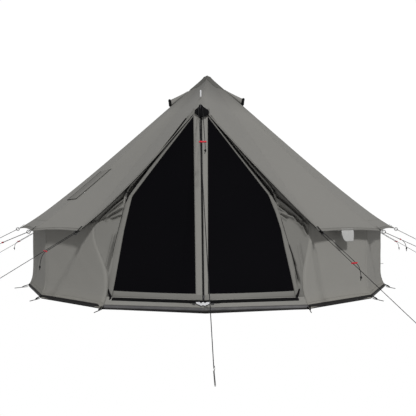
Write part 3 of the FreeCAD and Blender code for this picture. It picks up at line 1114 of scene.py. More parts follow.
# ---------------- repeated small pieces
class Repeats:
    """Geometry Nodes tree that sets copies of one small piece along a line."""

    def __init__(self) -> None:
        """Build the tree with its named inputs."""
        tree = bpy.data.node_groups.new("copies_along", "GeometryNodeTree")
        self.sockets = {}
        for label, kind, flow in (("Line", "NodeSocketGeometry", "INPUT"),
                                  ("Piece", "NodeSocketObject", "INPUT"),
                                  ("Spacing", "NodeSocketFloat", "INPUT"),
                                  ("Jitter", "NodeSocketFloat", "INPUT"),
                                  ("Material", "NodeSocketMaterial", "INPUT"),
                                  ("Geometry", "NodeSocketGeometry", "OUTPUT")):
            socket = tree.interface.new_socket(label, in_out=flow, socket_type=kind)
            self.sockets[label] = socket.identifier
        nodes, links = tree.nodes, tree.links
        source, target = nodes.new("NodeGroupInput"), nodes.new("NodeGroupOutput")
        line = nodes.new("GeometryNodeMeshToCurve")
        spread = nodes.new("GeometryNodeCurveToPoints")
        spread.mode = "LENGTH"
        piece = nodes.new("GeometryNodeObjectInfo")
        copies = nodes.new("GeometryNodeInstanceOnPoints")
        turn = nodes.new("FunctionNodeRandomValue")
        turn.inputs["Seed"].default_value = 7
        smallest = nodes.new("ShaderNodeMath")
        smallest.operation = "SUBTRACT"
        smallest.inputs[0].default_value = 1.0
        solid = nodes.new("GeometryNodeRealizeInstances")
        paint = nodes.new("GeometryNodeSetMaterial")
        turn.inputs[3].default_value = 1.0
        for start, outlet, end, inlet in (
                (source, "Line", line, "Mesh"), (line, "Curve", spread, "Curve"),
                (source, "Spacing", spread, "Length"), (source, "Piece", piece, "Object"),
                (spread, "Points", copies, "Points"), (spread, "Rotation", copies, "Rotation"),
                (piece, "Geometry", copies, "Instance"), (source, "Jitter", smallest, 1),
                (smallest, 0, turn, 2), (turn, 1, copies, "Scale"), (copies, "Instances", solid, "Geometry"),
                (solid, "Geometry", paint, "Geometry"), (source, "Material", paint, "Material"),
                (paint, "Geometry", target, "Geometry")):
            links.new(start.outputs[outlet], end.inputs[inlet])
        self.tree = tree

    def along(self, name: str, points: Sequence[Vector], size: tuple[float, float, float], spacing: float,
              material: Paint) -> Piece:
        """Copies of a small block along a line.

        Args:
            name: Name of the new object.
            points: The line, in metres.
            size: Height, width and length of the block; its length lies along the line.
            spacing: Distance between copies.
            material: Material of the copies.

        Returns:
            One plain mesh object that holds every copy.
        """
        block = slab(name + "_unit", Vector(), UP, SIDEWAYS, (size[2], size[0], size[1]), material)
        mesh = bpy.data.meshes.new(name)
        mesh.from_pydata(list(points), [(i, i + 1) for i in range(len(points) - 1)], [])
        thing = add_object(name, mesh, None)
        work = thing.modifiers.new("copies", "NODES")
        work.node_group = self.tree
        work[self.sockets["Piece"]] = block
        work[self.sockets["Spacing"]] = spacing
        work[self.sockets["Jitter"]] = 0.15
        work[self.sockets["Material"]] = material
        freeze(thing)
        bpy.data.objects.remove(block)
        return thing


# ---------------- roof
@dataclass
class Roof:
    """Roof cloth in one piece, with its seams, hem, vents, stove flap, cap and label."""

    shape: TentShape
    finishes: Palette
    repeats: Repeats
    columns: int = 14
    rows: int = 44
    cloth: float = 0.002
    seam_width: float = 0.018
    seam_lift: float = 0.0016

    def canvas(self) -> Piece:
        """The roof cloth, in gores from the peak to the scalloped edge.

        Returns:
            The new object.
        """
        sides = self.shape.sides

        def place(u: float, v: float) -> Vector:
            """Point of the cloth with a little hand-made unevenness."""
            t = 1.0 - v
            around = u * sides
            point = self.shape.roof(around, t)
            soft = uneven(point.x * 2.2, point.y * 2.2, 3.0)
            pull = uneven(around * 4.0, t * 2.0, 8.0)
            point.z += (0.004 * soft + 0.003 * pull) * arch(around - int(around)) * min(1.0, 3.0 * t)
            return point

        width = 2 * math.pi * self.shape.eave_radius
        return grid("roof_canvas", self.rows, sides * self.columns, place, (width, 2.6),
                    self.finishes["roof"])

    def seams(self) -> list[Piece]:
        """Raised flat seam on every line between two gores.

        Returns:
            One object for each seam.
        """
        found = []
        for k in range(self.shape.sides):
            def place(u: float, v: float, k: int = k) -> Vector:
                """Point of the seam, its edges tucked into the cloth."""
                t = 0.03 + 0.955 * (1.0 - v)
                reach = max(0.05, t * self.shape.eave_radius)
                width = math.degrees(self.seam_width / reach) / self.shape.step
                if k == 0:
                    width = self.seam_width / (0.12 + 1.1 * t) / 1.2
                around = (k + (u - 0.5) * width) % self.shape.sides
                return self.shape.roof_on(around, t, self.seam_lift * (1.0 - abs(2 * u - 1) ** 3) + 0.0004)

            found.append(grid(f"seam_{k}", 50, 6, place, (self.seam_width, 2.6), self.finishes["roof"]))
        return found

    def hem(self) -> Piece:
        """Folded hem along the roof's edge.

        Returns:
            The new object.
        """
        sides = self.shape.sides

        def place(u: float, v: float) -> Vector:
            """Point of the hem, wrapped round the edge of the cloth."""
            around = u * sides * INSIDE
            start = self.shape.hem_start(around)
            if v < 0.75:
                t = start + (1.0 - start) * v / 0.75
                return self.shape.roof_on(around, t, 0.0022)
            under = (v - 0.75) / 0.25
            return self.shape.roof_on(around, 1.0 - 0.004 * under, 0.0022 - 0.0065 * under)

        return grid("hem", 8, sides * self.columns, lambda u, v: place(1.0 - u, v), (13.0, 0.05),
                    self.finishes["hem"])

    def hem_stitches(self) -> Piece:
        """Stitches along the top of the hem.

        Returns:
            The new object.
        """
        sides = self.shape.sides
        points = []
        for step in range(sides * self.columns * 2 + 1):
            around = step / (self.columns * 2) * INSIDE
            points.append(self.shape.roof_on(around, self.shape.hem_start(around) + 0.002, 0.0030))
        return self.repeats.along("roof_stitches", points, (0.0014, 0.0030, 0.008), 0.011,
                                  self.finishes["seam"])

    def vent(self, index: int) -> Piece:
        """Hooded vent with a wired mouth and dark net inside; its thick black rim is partly painted shade
        for the shaded mouth.

        Args:
            index: Number of the vent, from the right round to the left.

        Returns:
            The new object.
        """
        out = polar(self.shape.step * (3.5, 5.5, 8.5, 10.5)[index], 1.0)
        across = out.cross(UP) * -1.0
        low, high = (0.205, 0.412) if index == 0 else (0.225, 0.428)

        def roof_at(reach: float) -> Vector:
            """Point of the roof plane under the hood."""
            return out * reach + UP * (self.shape.peak_height - 0.008 - self.shape.slope * reach)

        def place(u: float, v: float) -> Vector:
            """Point of the hood: a half cone that opens outwards."""
            reach = low + (high - low) * v
            turn = math.pi * (u - 0.5)
            half = 0.050 + 0.032 * v
            lift = 0.010 + 0.078 * v ** 1.1
            corner = abs(math.cos(turn)) ** 0.60
            side = math.copysign(abs(math.sin(turn)) ** 0.75, math.sin(turn))
            base = roof_at(reach + 0.012 * math.cos(turn) * v)
            return base + across * (side * half) + UP * (lift * corner + 0.001)

        hood = grid("hood", 14, 18, place, (0.22, 0.21), self.finishes["trim"])
        hood = thicken(hood, 0.003)
        rim_points = [place(i / 24, 1.0) for i in range(25)]
        # Thick black rim: painted shade for the dark mouth of the hood, beyond its real wired edge.
        rim = tube("rim", rim_points, 0.0170, self.finishes["web"], sides=10)
        base = [roof_at(high) + across * ((i / 12 - 1) * 0.086) + UP * 0.004 for i in range(25)]

        def mouth(u: float, v: float) -> Vector:
            """Point of the net inside the mouth, set back from the rim."""
            spot = min(int(u * 24), 23)
            top, foot = (line[spot].lerp(line[spot + 1], u * 24 - spot) for line in (rim_points, base))
            return foot.lerp(top, v) - out * 0.014

        net = grid("net", 6, 24, mouth, (0.17, 0.10), self.finishes["net"])
        strut = tube("strut", [roof_at(high - 0.006), roof_at(high - 0.004) + UP * 0.086], 0.004,
                     self.finishes["plastic"])
        return join(f"vent_hood_{index + 1}", [hood, rim, net, strut])

    def cap(self) -> Piece:
        """Reinforced peak with its spike sleeve.

        Returns:
            The new object.
        """
        def place(u: float, v: float) -> Vector:
            """Point of the flared cap, round at its tip."""
            radius = 0.017 + 0.170 * max(0.0, 1.0 - v / 0.8) ** 1.35
            fold = 0.001 * math.cos(self.shape.sides * 2 * math.pi * u) * (1.0 - v)
            lift = 0.004 + fold + 0.009 * min(1.0, v / 0.8) ** 3
            around = self.shape.sides * u % self.shape.sides
            point = self.shape.roof_on(around, radius / self.shape.eave_radius, lift)
            if v > 0.8:
                turn = (v - 0.8) / 0.2 * math.pi / 2
                point = Vector((point.x * math.cos(turn), point.y * math.cos(turn),
                                point.z + 0.012 * math.sin(turn)))
            return point

        return thicken(grid("peak_sleeve", 30, 168, place, (0.8, 0.2), self.finishes["peak"]), 0.003)

    def flap(self) -> Piece:
        """Cover of the stove opening, held down by tape on three sides.

        Returns:
            The new object.
        """
        middle = self.shape.sides - 2.14

        def place(u: float, v: float) -> Vector:
            """Point of the cover, its edges turned down to the cloth."""
            t = 0.625 + 0.178 * (1.0 - v)
            width = 0.360 / (self.shape.eave_radius * t * math.radians(self.shape.step))
            edge = min(1.0, 12 * min(u, 1 - u), 12 * min(v, 1 - v))
            rough = 0.0012 * uneven(u * 4, v * 5, 2.0)
            return self.shape.roof_on(middle + (u - 0.5) * width, t, 0.002 + (0.006 + rough) * edge ** 0.5)

        cover = grid("cover", 26, 26, place, (0.36, 0.39), self.finishes["flap"])
        cover = thicken(cover, 0.0022)
        rows = 30
        edges: tuple[Callable[[float], Vector], ...] = (
            lambda s: place(0.012, s), lambda s: place(s, 0.012), lambda s: place(0.988, s))
        tapes = [tube("tape", [edge(i / rows) + UP * 0.002 for i in range(rows + 1)], 0.0042,
                      self.finishes["web"], flat=0.5) for edge in edges]
        return join("stove_cover", [cover, *tapes])

    def binding(self) -> Piece:
        """Dark tape under the roof's edge over the doorway, and a pale tab on the ridge; the tape is partly
        real binding and partly painted shade for the shadow under the edge.

        Returns:
            The new object.
        """
        lines = []
        # Dark tape tucked under the edge: partly real binding, partly painted shade for the shadow there.
        for first, last in ((0.02, 0.97), (self.shape.sides - 0.97, self.shape.sides - 0.02)):
            points = [self.shape.roof_on(first + (last - first) * i / 60, 0.998, -0.0045) for i in range(61)]
            lines.append(tube("binding", points, 0.0040, self.finishes["web"]))
        foot = self.shape.seam(0, 0.72) + Vector((-0.019, 0.0, -0.004))
        tab = slab("tab", foot + UP * 0.032, UP, SIDEWAYS, (0.062, 0.014, 0.003),
                   self.finishes["silver"], 0.001)
        return join("roof_binding", [*lines, tab])

    def label(self) -> Piece:
        """Plain woven patch with one round corner, hung from the hem.

        Returns:
            The new object.
        """
        middle = 1.0 + 0.44
        top = self.shape.roof_on(middle, 0.992, 0.004)
        after = self.shape.roof_on(middle + 0.02, 0.992, 0.004)
        across = (after - top).normalized()
        out = outward(top)

        def place(u: float, v: float) -> Vector:
            """Point of the patch; the corner away from the wall is cut round."""
            x = (u - 0.5) * 0.175
            drop = 0.112 * (1.0 - v)
            curve = 0.112 - 0.070 * (1 - min(1.0, u / 0.45)) ** 2.2
            return top + across * x - UP * (0.004 + min(drop, curve)) + out * (0.008 + 0.006 * arch(v))

        return thicken(grid("eave_patch", 14, 14, place, (0.175, 0.112), self.finishes["label"]), 0.0016)

    def build(self) -> None:
        canvas = self.canvas()
        canvas = thicken(canvas, self.cloth)
        seams = join("roof_seams", self.seams())
        hem, stitches = self.hem(), self.hem_stitches()
        hem.name = "roof_hem"
        cap, label, binding = self.cap(), self.label(), self.binding()
        vents = [self.vent(i) for i in range(4)]
        for piece, slot in ((canvas, "roof"), (seams, "roof"), (hem, "roof"), (stitches, "roof"),
                            (cap, "roof"), (binding, "roof"), (label, "label"),
                            *((vent, "roof") for vent in vents)):
            place_on(piece, slot)
        flap = self.flap()
        place_on(flap, "roof", "stove_flap")
        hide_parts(*(f"roof_{part}_{side.word}" for part in ("front", "side", "rear") for side in Side))
        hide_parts("peak_cap")
        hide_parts("vent_hoods")
        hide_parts("stove_flap")
        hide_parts("eave_label")


# ---------------- walls and floor
@dataclass
class Walls:
    """Side wall, its foot band and the groundsheet's black edge."""

    shape: TentShape
    finishes: Palette
    repeats: Repeats
    columns: int = 16
    cloth: float = 0.002
    band: float = 0.045
    height: float = 0.72
    peg_turns: dict[int, float] = field(
        default_factory=lambda: {1: -5.0, 2: 22.0, 3: 20.0, 11: -43.0, 12: -17.0, 13: -12.0})

    @staticmethod
    def run(side: Side) -> tuple[float, float]:
        """First and last corner of one half of the wall."""
        return (1.0, 7.0) if side is Side.RIGHT else (7.0, 13.0)

    def half(self, side: Side) -> Piece:
        """Side wall from the door's corner round to the back.

        Args:
            side: Half of the tent.

        Returns:
            The new object.
        """
        sides = self.shape.sides
        first, last = self.run(side)
        width = 2 * math.pi * self.shape.wall_radius * (last - first) / sides
        return grid(f"wall_cloth_{side.word}", 26, 6 * self.columns,
                    lambda u, v: self.shape.wall(first + (last - first) * u * INSIDE, v),
                    (width, self.shape.wall_top), self.finishes["wall"])

    def foot_band(self, side: Side) -> Piece:
        """Band sewn on the outside of the wall along its foot.

        Args:
            side: Half of the tent.

        Returns:
            The new object.
        """
        first, last = self.run(side)

        def place(u: float, v: float) -> Vector:
            """Point of the band."""
            point = self.shape.wall(first + (last - first) * u * INSIDE, self.band / self.height * v)
            return point + outward(point) * (0.0022 * (1 - abs(2 * v - 1) ** 4) + 0.0004)

        return grid("band", 5, int((last - first) * self.columns), place, (5.2, self.band),
                    self.finishes["wall"])

    def corner_seam(self, k: int) -> Piece:
        """Upright seam on wall corner k.

        Args:
            k: Number of the corner, from the door towards +X.

        Returns:
            The new object.
        """
        half = 0.010

        def place(u: float, v: float) -> Vector:
            """Point of the seam."""
            around = min(13.0 - 1e-5, max(1.0, k + (u - 0.5) * 2 * half / 0.87))
            point = self.shape.wall(around, 0.02 + 0.97 * v)
            return point + outward(point) * (0.0022 * (1 - abs(2 * u - 1) ** 3) + 0.0003)

        return grid(f"corner{k}", 16, 4, place, (2 * half, 0.7), self.finishes["wall"])

    def loops(self) -> Piece:
        """Webbing loops that hold the base pegs to the corners.

        Returns:
            The new object.
        """
        found = []
        for k in range(1, self.shape.sides):
            azimuth = self.peg_turns.get(k, self.shape.step * k)
            side = polar(azimuth + 90, 0.011)
            start = polar(self.shape.step * k, 1.994, 0.026)
            end = polar(self.shape.step * k, 2.010, 0.009) + polar(azimuth, 0.062)
            line = Line((start - side * 0.9, start.lerp(end, 0.55) - side * 0.8 + UP * 0.002, end,
                         start.lerp(end, 0.55) + side * 0.8 + UP * 0.002, start + side * 0.9))
            found.append(tube(f"loop{k}", line.sampled(24), 0.0048, self.finishes["web"], flat=0.5))
        return join("base_loops", found)

    def tub(self) -> Piece:
        """Groundsheet with its low upturned edge.

        Returns:
            The new object.
        """
        sides = self.shape.sides
        profile = ((0.0, 0.006), (0.90, 0.006), (0.985, 0.006), (1.0, 0.006), (1.004, 0.012), (1.004, 0.030),
                   (1.001, 0.040))
        corners = [Vector(self.shape.front_foot),
                   *(polar(self.shape.step * k, 1.992) for k in range(1, sides))]
        rows = len(profile) - 1

        def place(u: float, v: float) -> Vector:
            """Point of the sheet, from its middle out to the edge."""
            k, edge = self.rim(corners, u)
            index = min(rows, round(v * rows))
            share, height = profile[index]
            if k in (0, sides - 1):
                height = min(height, 0.012)
            wave = 0.0025 * uneven(u * 60, share * 8, 1.0)
            return Vector((edge.x * share, edge.y * share, height + (wave if 0 < index < 4 else 0.0)))

        sheet = grid("floor_sheet", rows, sides * 12, place, (12.0, 2.0), self.finishes["sheet"])
        bottom = self.underside(corners)
        return join("groundsheet_tub", [thicken(sheet, 0.0015), bottom])

    @staticmethod
    def rim(corners: Sequence[Vector], u: float) -> tuple[int, Vector]:
        """Side of the floor, and the point of its rim, at a share of the way round.

        Args:
            corners: Corners of the floor.
            u: Share of the way round, from the door.

        Returns:
            Number of the side, and the point.
        """
        sides = len(corners)
        k = min(int(u * sides), sides - 1)
        return k, corners[k].lerp(corners[(k + 1) % sides], u * sides - k)

    def underside(self, corners: Sequence[Vector]) -> Piece:
        """Outer skin of the groundsheet, rolled round its foot.

        Args:
            corners: Corners of the floor.

        Returns:
            The new object.
        """
        sides = self.shape.sides

        def place(u: float, v: float) -> Vector:
            """Point of the skin."""
            k, edge = self.rim(corners, u)
            out = outward(edge)
            flat = Vector((edge.x, edge.y, 0.0))
            turn = math.pi * (v - 0.5)
            front = k in (0, sides - 1)
            bulge = (0.001 if front else 0.006) * math.cos(turn)
            ripple = 0.0015 * uneven(u * 90, v * 2, 6.0)
            tall = 0.35 if front else 1.0
            return flat + out * (bulge + ripple) + UP * (0.001 + 0.017 * tall * (1.0 + math.sin(turn)))

        return thicken(grid("skin", 8, sides * 12, place, (12.4, 0.05), self.finishes["sheet"]), 0.0012)

    def build(self) -> None:
        for side in Side:
            wall = self.half(side)
            area = area_of(wall)
            wall = thicken(wall, self.cloth)
            first, last = self.run(side)
            seams = [self.corner_seam(k) for k in range(int(first), int(last) + 1)]
            trim = join(f"wall_trim_{side.word}", [self.foot_band(side), *seams])
            top = self.band / self.height - 0.004
            points = [self.shape.wall(first + (last - first) * i / 200 * INSIDE, top) for i in range(201)]
            points = [p + outward(p) * 0.0022 for p in points]
            stitches = self.repeats.along(f"wall_stitches_{side.word}", points, (0.0012, 0.0014, 0.006),
                                          0.011, self.finishes["seam"])
            for piece in (wall, trim, stitches):
                place_on(piece, "wall")
            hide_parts(f"wall_{side.word}")
            LOG.info("wall %s: %.2f square metres", side.word, area)
        loops = self.loops()
        place_on(loops, "black_plastic")
        tub = self.tub()
        place_on(tub, "groundsheet")


# ---------------- doorway
@dataclass(frozen=True)
class Fold:
    """Crease in the cloth: a groove with a ridge beside it, in door-plane metres (x, z)."""

    start: tuple[float, float]
    end: tuple[float, float]
    depth: float = 0.012
    width: float = 0.011

    def push(self, x: float, z: float) -> float:
        """Distance that the crease moves the cloth outwards at a point.

        Args:
            x: Side position.
            z: Height in metres.

        Returns:
            The distance in metres.
        """
        ax, az = self.start
        dx, dz = self.end[0] - ax, self.end[1] - az
        span = math.hypot(dx, dz)
        along = ((x - ax) * dx + (z - az) * dz) / (span * span)
        if not -0.05 < along < 1.05:
            return 0.0
        aside = ((x - ax) * dz - (z - az) * dx) / span
        fade = ease(-0.05, 0.12, along) * (1.0 - ease(0.80, 1.05, along))
        groove = math.exp(-(aside / self.width) ** 2)
        ridge = math.exp(-((aside - 1.9 * self.width) / (1.3 * self.width)) ** 2)
        return self.depth * fade * (0.6 * ridge - groove)


@dataclass(frozen=True)
class DoorCut:
    """Cut lines of one half of the doorway, from the foot up, in door-plane metres (x, z)."""

    side: Side
    net_edge: CutLine
    strip_edge: CutLine
    inner: CutLine
    zip_side: CutLine
    folds: tuple[Fold, ...]
    foot_corner: float
    toggle: tuple[float, float]

    @staticmethod
    def read(line: CutLine, z: float) -> float:
        """X of a cut line at a height.

        Args:
            line: The cut line.
            z: Height in metres.

        Returns:
            Distance to the right, in metres.
        """
        if z <= line[0][1]:
            return line[0][0]
        for (x0, z0), (x1, z1) in zip(line, line[1:]):
            if z <= z1:
                return x0 + (x1 - x0) * (z - z0) / (z1 - z0)
        return line[-1][0]


LEFT_CUT = DoorCut(
    side=Side.LEFT,
    net_edge=((-0.792, 0.100), (-0.786, 0.144), (-0.760, 0.288), (-0.724, 0.500), (-0.695, 0.666),
              (-0.650, 0.864), (-0.628, 0.952), (-0.360, 1.300), (-0.081, 1.653)),
    strip_edge=((-0.846, 0.100), (-0.838, 0.158), (-0.809, 0.331), (-0.779, 0.513), (-0.750, 0.635),
                (-0.712, 0.788), (-0.684, 0.895), (-0.654, 0.965), (-0.386, 1.318), (-0.106, 1.680)),
    inner=((-0.080, 0.098), (-0.105, 1.690)),
    zip_side=((-0.024, 0.098), (-0.048, 1.700)),
    folds=(Fold((-0.672, 0.985), (-0.944, 0.738), 0.016, 0.010),
           Fold((-0.680, 0.935), (-0.928, 0.722), 0.012, 0.009),
           Fold((-0.702, 0.850), (-0.896, 0.742), 0.012, 0.009),
           Fold((-0.716, 0.790), (-0.824, 0.750), 0.009, 0.008),
           Fold((-0.768, 0.640), (-0.846, 0.270), 0.009, 0.007),
           Fold((-0.790, 0.560), (-0.838, 0.330), 0.004, 0.006)),
    foot_corner=-0.762, toggle=(-0.656, 0.975))
RIGHT_CUT = DoorCut(
    side=Side.RIGHT,
    net_edge=((0.757, 0.100), (0.751, 0.145), (0.714, 0.319), (0.670, 0.515), (0.640, 0.667), (0.595, 0.811),
              (0.534, 0.963), (0.243, 1.332), (0.176, 1.419), (0.021, 1.615), (0.018, 1.654)),
    strip_edge=((0.798, 0.100), (0.791, 0.144), (0.762, 0.332), (0.732, 0.461), (0.687, 0.598),
                (0.649, 0.727), (0.611, 0.872), (0.560, 0.972), (0.264, 1.332), (0.196, 1.419),
                (0.040, 1.615), (0.034, 1.680)),
    inner=((0.022, 0.098), (0.018, 1.690)),
    zip_side=((-0.010, 0.098), (-0.034, 1.700)),
    folds=(Fold((0.578, 0.990), (0.887, 0.711), 0.015, 0.010),
           Fold((0.615, 0.880), (0.760, 0.782), 0.014, 0.010),
           Fold((0.740, 0.800), (0.850, 0.690), 0.012, 0.010),
           Fold((0.830, 0.715), (0.880, 0.620), 0.009, 0.010),
           Fold((0.626, 0.838), (0.728, 0.788), 0.010, 0.008),
           Fold((0.634, 0.806), (0.704, 0.758), 0.008, 0.007),
           Fold((0.704, 0.540), (0.800, 0.200), 0.012, 0.009),
           Fold((0.726, 0.470), (0.768, 0.350), 0.016, 0.007),
           Fold((0.800, 0.560), (0.840, 0.300), 0.003, 0.008)),
    foot_corner=0.735, toggle=(0.558, 0.975))


@dataclass
class Doorway:
    """A-frame front: fixed canvas, net doors with their zip, rolled canvas doors and the threshold."""

    shape: TentShape
    finishes: Palette
    repeats: Repeats
    cuts: tuple[DoorCut, ...] = (LEFT_CUT, RIGHT_CUT)
    top: float = 1.690
    door_low: float = 0.100
    net_top: float = 1.655
    knee_span: float = 0.040
    gutter: float = 0.066
    rise: float = 0.42        # share of the outer edge that runs up the wall corner
    foot_width: float = 1.72
    crease: float = 2.5

    def plane(self, side: Side, x: float, z: float, out: float = 0.0) -> Vector:
        """Point of one half's front plane, moved outwards.

        Args:
            side: Half of the tent.
            x: Distance to the right, in metres.
            z: Height in metres.
            out: Distance outwards.

        Returns:
            The point.
        """
        apex, foot = Vector(self.shape.apex), Vector(self.shape.front_foot)
        corner = polar(side.value * self.shape.step, self.shape.wall_radius, foot.z)
        normal = (apex - foot).cross(corner - foot).normalized()
        if normal.y > 0:
            normal.negate()
        y = foot.y - (normal.x * (x - foot.x) + normal.z * (z - foot.z)) / normal.y
        return Vector((x, y, z)) + normal * out

    def outer(self, cut: DoorCut, v: float) -> Vector:
        """Outer edge of the fixed canvas: up the wall corner, then under the roof's edge.

        Args:
            cut: Cut lines of this half.
            v: Share of the height.

        Returns:
            The point.
        """
        side = cut.side
        corner = 1 if side is Side.RIGHT else self.shape.sides - 1
        if v < self.rise:
            return self.shape.wall_corner(corner, 0.10 + 0.628 * v / self.rise)
        s = 1.0 - (v - self.rise) / (1.0 - self.rise)
        around = s if side is Side.RIGHT else self.shape.sides - s
        t = 0.962 - 0.030 * s ** 6
        under = self.shape.roof(around, t)
        under.z -= 0.004
        return under

    @staticmethod
    def facing(cut: DoorCut, place: Place) -> Place:
        """The rule, mirrored on the left half so that its sheet looks outwards."""
        return (lambda u, v: place(1.0 - u, v)) if cut.side is Side.LEFT else place

    def inner(self, cut: DoorCut, v: float) -> Vector:
        """Inner edge of the fixed canvas, tucked behind the strip."""
        z = self.door_low + (self.top - self.door_low) * self.spread(v)
        x = cut.read(cut.strip_edge, z) - cut.side.value * 0.014
        return self.plane(cut.side, x, z, 0.001)

    def spread(self, v: float) -> float:
        """Height share on the inner edge that faces a share of the outer edge."""
        low = 0.40
        if v < self.rise:
            return v / self.rise * low
        return low + (v - self.rise) / (1.0 - self.rise) * (1.0 - low)

    def surround(self, cut: DoorCut) -> Piece:
        """Fixed canvas between the door strip, the wall corner and the roof's edge.

        Args:
            cut: Cut lines of this half.

        Returns:
            The new object.
        """
        normal = self.plane(cut.side, 0.0, 1.0, 1.0) - self.plane(cut.side, 0.0, 1.0)

        def place(u: float, v: float) -> Vector:
            """Point of the creased canvas."""
            point = self.inner(cut, v).lerp(self.outer(cut, v), u)
            hold = min(1.0, 8 * u, 10 * (1 - u))
            push = self.crease * sum(fold.push(point.x, point.z) for fold in cut.folds)
            gather = 0.0
            if v > self.rise:
                high = ease(0.50, 0.62, v)
                gather = -high * self.gutter * math.sin(math.pi * min(1.0, u * 1.04)) ** 0.5
            loose = 0.003 * uneven(point.x * 7, point.z * 5, 4.0)
            return point + normal * (hold * (push + gather + loose))

        return grid(f"door_canvas_{cut.side.word}", 260, 56, self.facing(cut, place), (0.35, 1.75),
                    self.finishes["front"])

    def ribbon(self, name: str, cut: DoorCut, first: CutLine,
               last: CutLine, low: float, high: float, lift: float, material: str, rows: int = 90) -> Piece:
        """Sewn strip between two cut lines, its edges a little rounded.

        Args:
            name: Name of the object.
            cut: Cut lines of this half.
            first: Cut line of its left edge.
            last: Cut line of its right edge.
            low: Lower end, in metres.
            high: Upper end, in metres.
            lift: Height above the cloth.
            material: Name of its finish.
            rows: Number of quads along it.

        Returns:
            The new object.
        """
        def place(u: float, v: float) -> Vector:
            """Point of the strip."""
            z = low + (high - low) * v
            x = cut.read(first, z) * (1 - u) + cut.read(last, z) * u
            rough = 0.0008 * uneven(x * 9, z * 14, 5.0)
            return self.plane(cut.side, x, z, lift * (1 - abs(2 * u - 1) ** 5) + rough)

        width = abs(cut.read(first, 0.9) - cut.read(last, 0.9))
        return grid(name, rows, 8, place, (width, high - low), self.finishes[material])

    def net(self, cut: DoorCut) -> Piece:
        """Insect net of one door, drawn tight with a few soft waves.

        Args:
            cut: Cut lines of this half.

        Returns:
            The new object.
        """
        def place(u: float, v: float) -> Vector:
            """Point of the net."""
            z = self.door_low + 0.02 + (self.net_top - self.door_low) * v
            inside = cut.read(cut.inner, z)
            outside = cut.read(cut.net_edge, z) + cut.side.value * 0.006
            x = inside + (outside - inside) * u
            wave = 0.004 * uneven(x * 5, z * 1.5, 6.0) * arch(u)
            return self.plane(cut.side, x, z, -0.002 + wave)

        return grid(f"net_{cut.side.word}", 90, 44, self.facing(cut, place), (0.75, 1.55),
                    self.finishes["net"])

    def foot_band(self, cut: DoorCut) -> Piece:
        """Canvas band along the foot of one net door.

        Args:
            cut: Cut lines of this half.

        Returns:
            The new object.
        """
        def place(u: float, v: float) -> Vector:
            """Point of the band."""
            z = 0.097 + 0.055 * v
            x = cut.read(cut.zip_side, z) + (cut.read(cut.net_edge, z) - cut.read(cut.zip_side, z)) * u
            sag = 0.004 * arch(u)
            return self.plane(cut.side, x, z - sag, 0.002 + 0.0025 * (1 - abs(2 * v - 1) ** 5))

        return grid("foot_band", 6, 60, self.facing(cut, place), (0.75, 0.055), self.finishes["front"])

    def zip_half(self, cut: DoorCut) -> list[Piece]:
        """Half of the centre zip: black tape with its row of teeth.

        Args:
            cut: Cut lines of this half.

        Returns:
            The tape and the teeth.
        """
        other = tuple((x - cut.side.value * 0.0045, z) for x, z in cut.zip_side)
        middle = tuple((x - cut.side.value * 0.0070, z) for x, z in cut.zip_side)
        tape = self.ribbon("tape", cut, cut.zip_side, middle, 0.10, 1.68, 0.0035, "web", 60)
        points = [self.plane(cut.side, cut.read(other, z), z, 0.0045)
                  for z in (0.10 + 1.57 * i / 60 for i in range(61))]
        teeth = self.repeats.along(f"teeth_{cut.side.word}", points, (0.0022, 0.0040, 0.0022), 0.0055,
                                   self.finishes["plastic"])
        return [tape, teeth]

    def roll(self, cut: DoorCut) -> Piece:
        """Canvas door rolled up beside the opening, its layers wound in a spiral.

        Args:
            cut: Cut lines of this half.

        Returns:
            The new object.
        """
        side = cut.side
        sign = side.value
        line = Line(tuple(self.plane(side, x, z, out) for x, z, out in (
            (cut.read(cut.strip_edge, 1.64) + sign * 0.012, 1.640, -0.014),
            (cut.read(cut.strip_edge, 1.45) + sign * 0.024, 1.450, -0.008),
            (cut.read(cut.strip_edge, 1.20) + sign * 0.030, 1.200, -0.004),
            (cut.toggle[0] + sign * 0.016, cut.toggle[1] + 0.020, 0.004),
            (cut.read(cut.strip_edge, 0.80) + sign * 0.006, 0.800, -0.024),
            (cut.read(cut.strip_edge, 0.45) - sign * 0.010, 0.450, -0.034),
            (cut.read(cut.strip_edge, 0.16) - sign * 0.016, 0.170, -0.034))))
        steps = 110
        points = line.sampled(steps)
        frames = frame_along(points)
        turns = 5.0

        def place(u: float, v: float) -> Vector:
            """Point of the wound cloth."""
            index = min(int(v * steps), steps - 1)
            part = v * steps - index
            centre = points[index].lerp(points[index + 1], part)
            across, up = frames[index]
            knot = 1.0 - 0.35 * math.exp(-((v - 0.47) / 0.03) ** 2)
            slim = (0.38 + 0.32 * ease(0.0, 0.35, v) + 0.30 * ease(0.5, 0.7, v)) * knot
            turn = 2 * math.pi * turns * u + 2.2 * v
            radius = (0.0045 + 0.0155 * u) * slim
            lump = 1 + 0.16 * uneven(2 * math.cos(turn), 2 * math.sin(turn), v * 9.0)
            return centre + (across * math.cos(turn) + up * (0.72 * math.sin(turn))) * (radius * lump)

        return grid(f"canvas_roll_{side.word}", steps, 90, place, (0.46, 1.7), self.finishes["trim"])

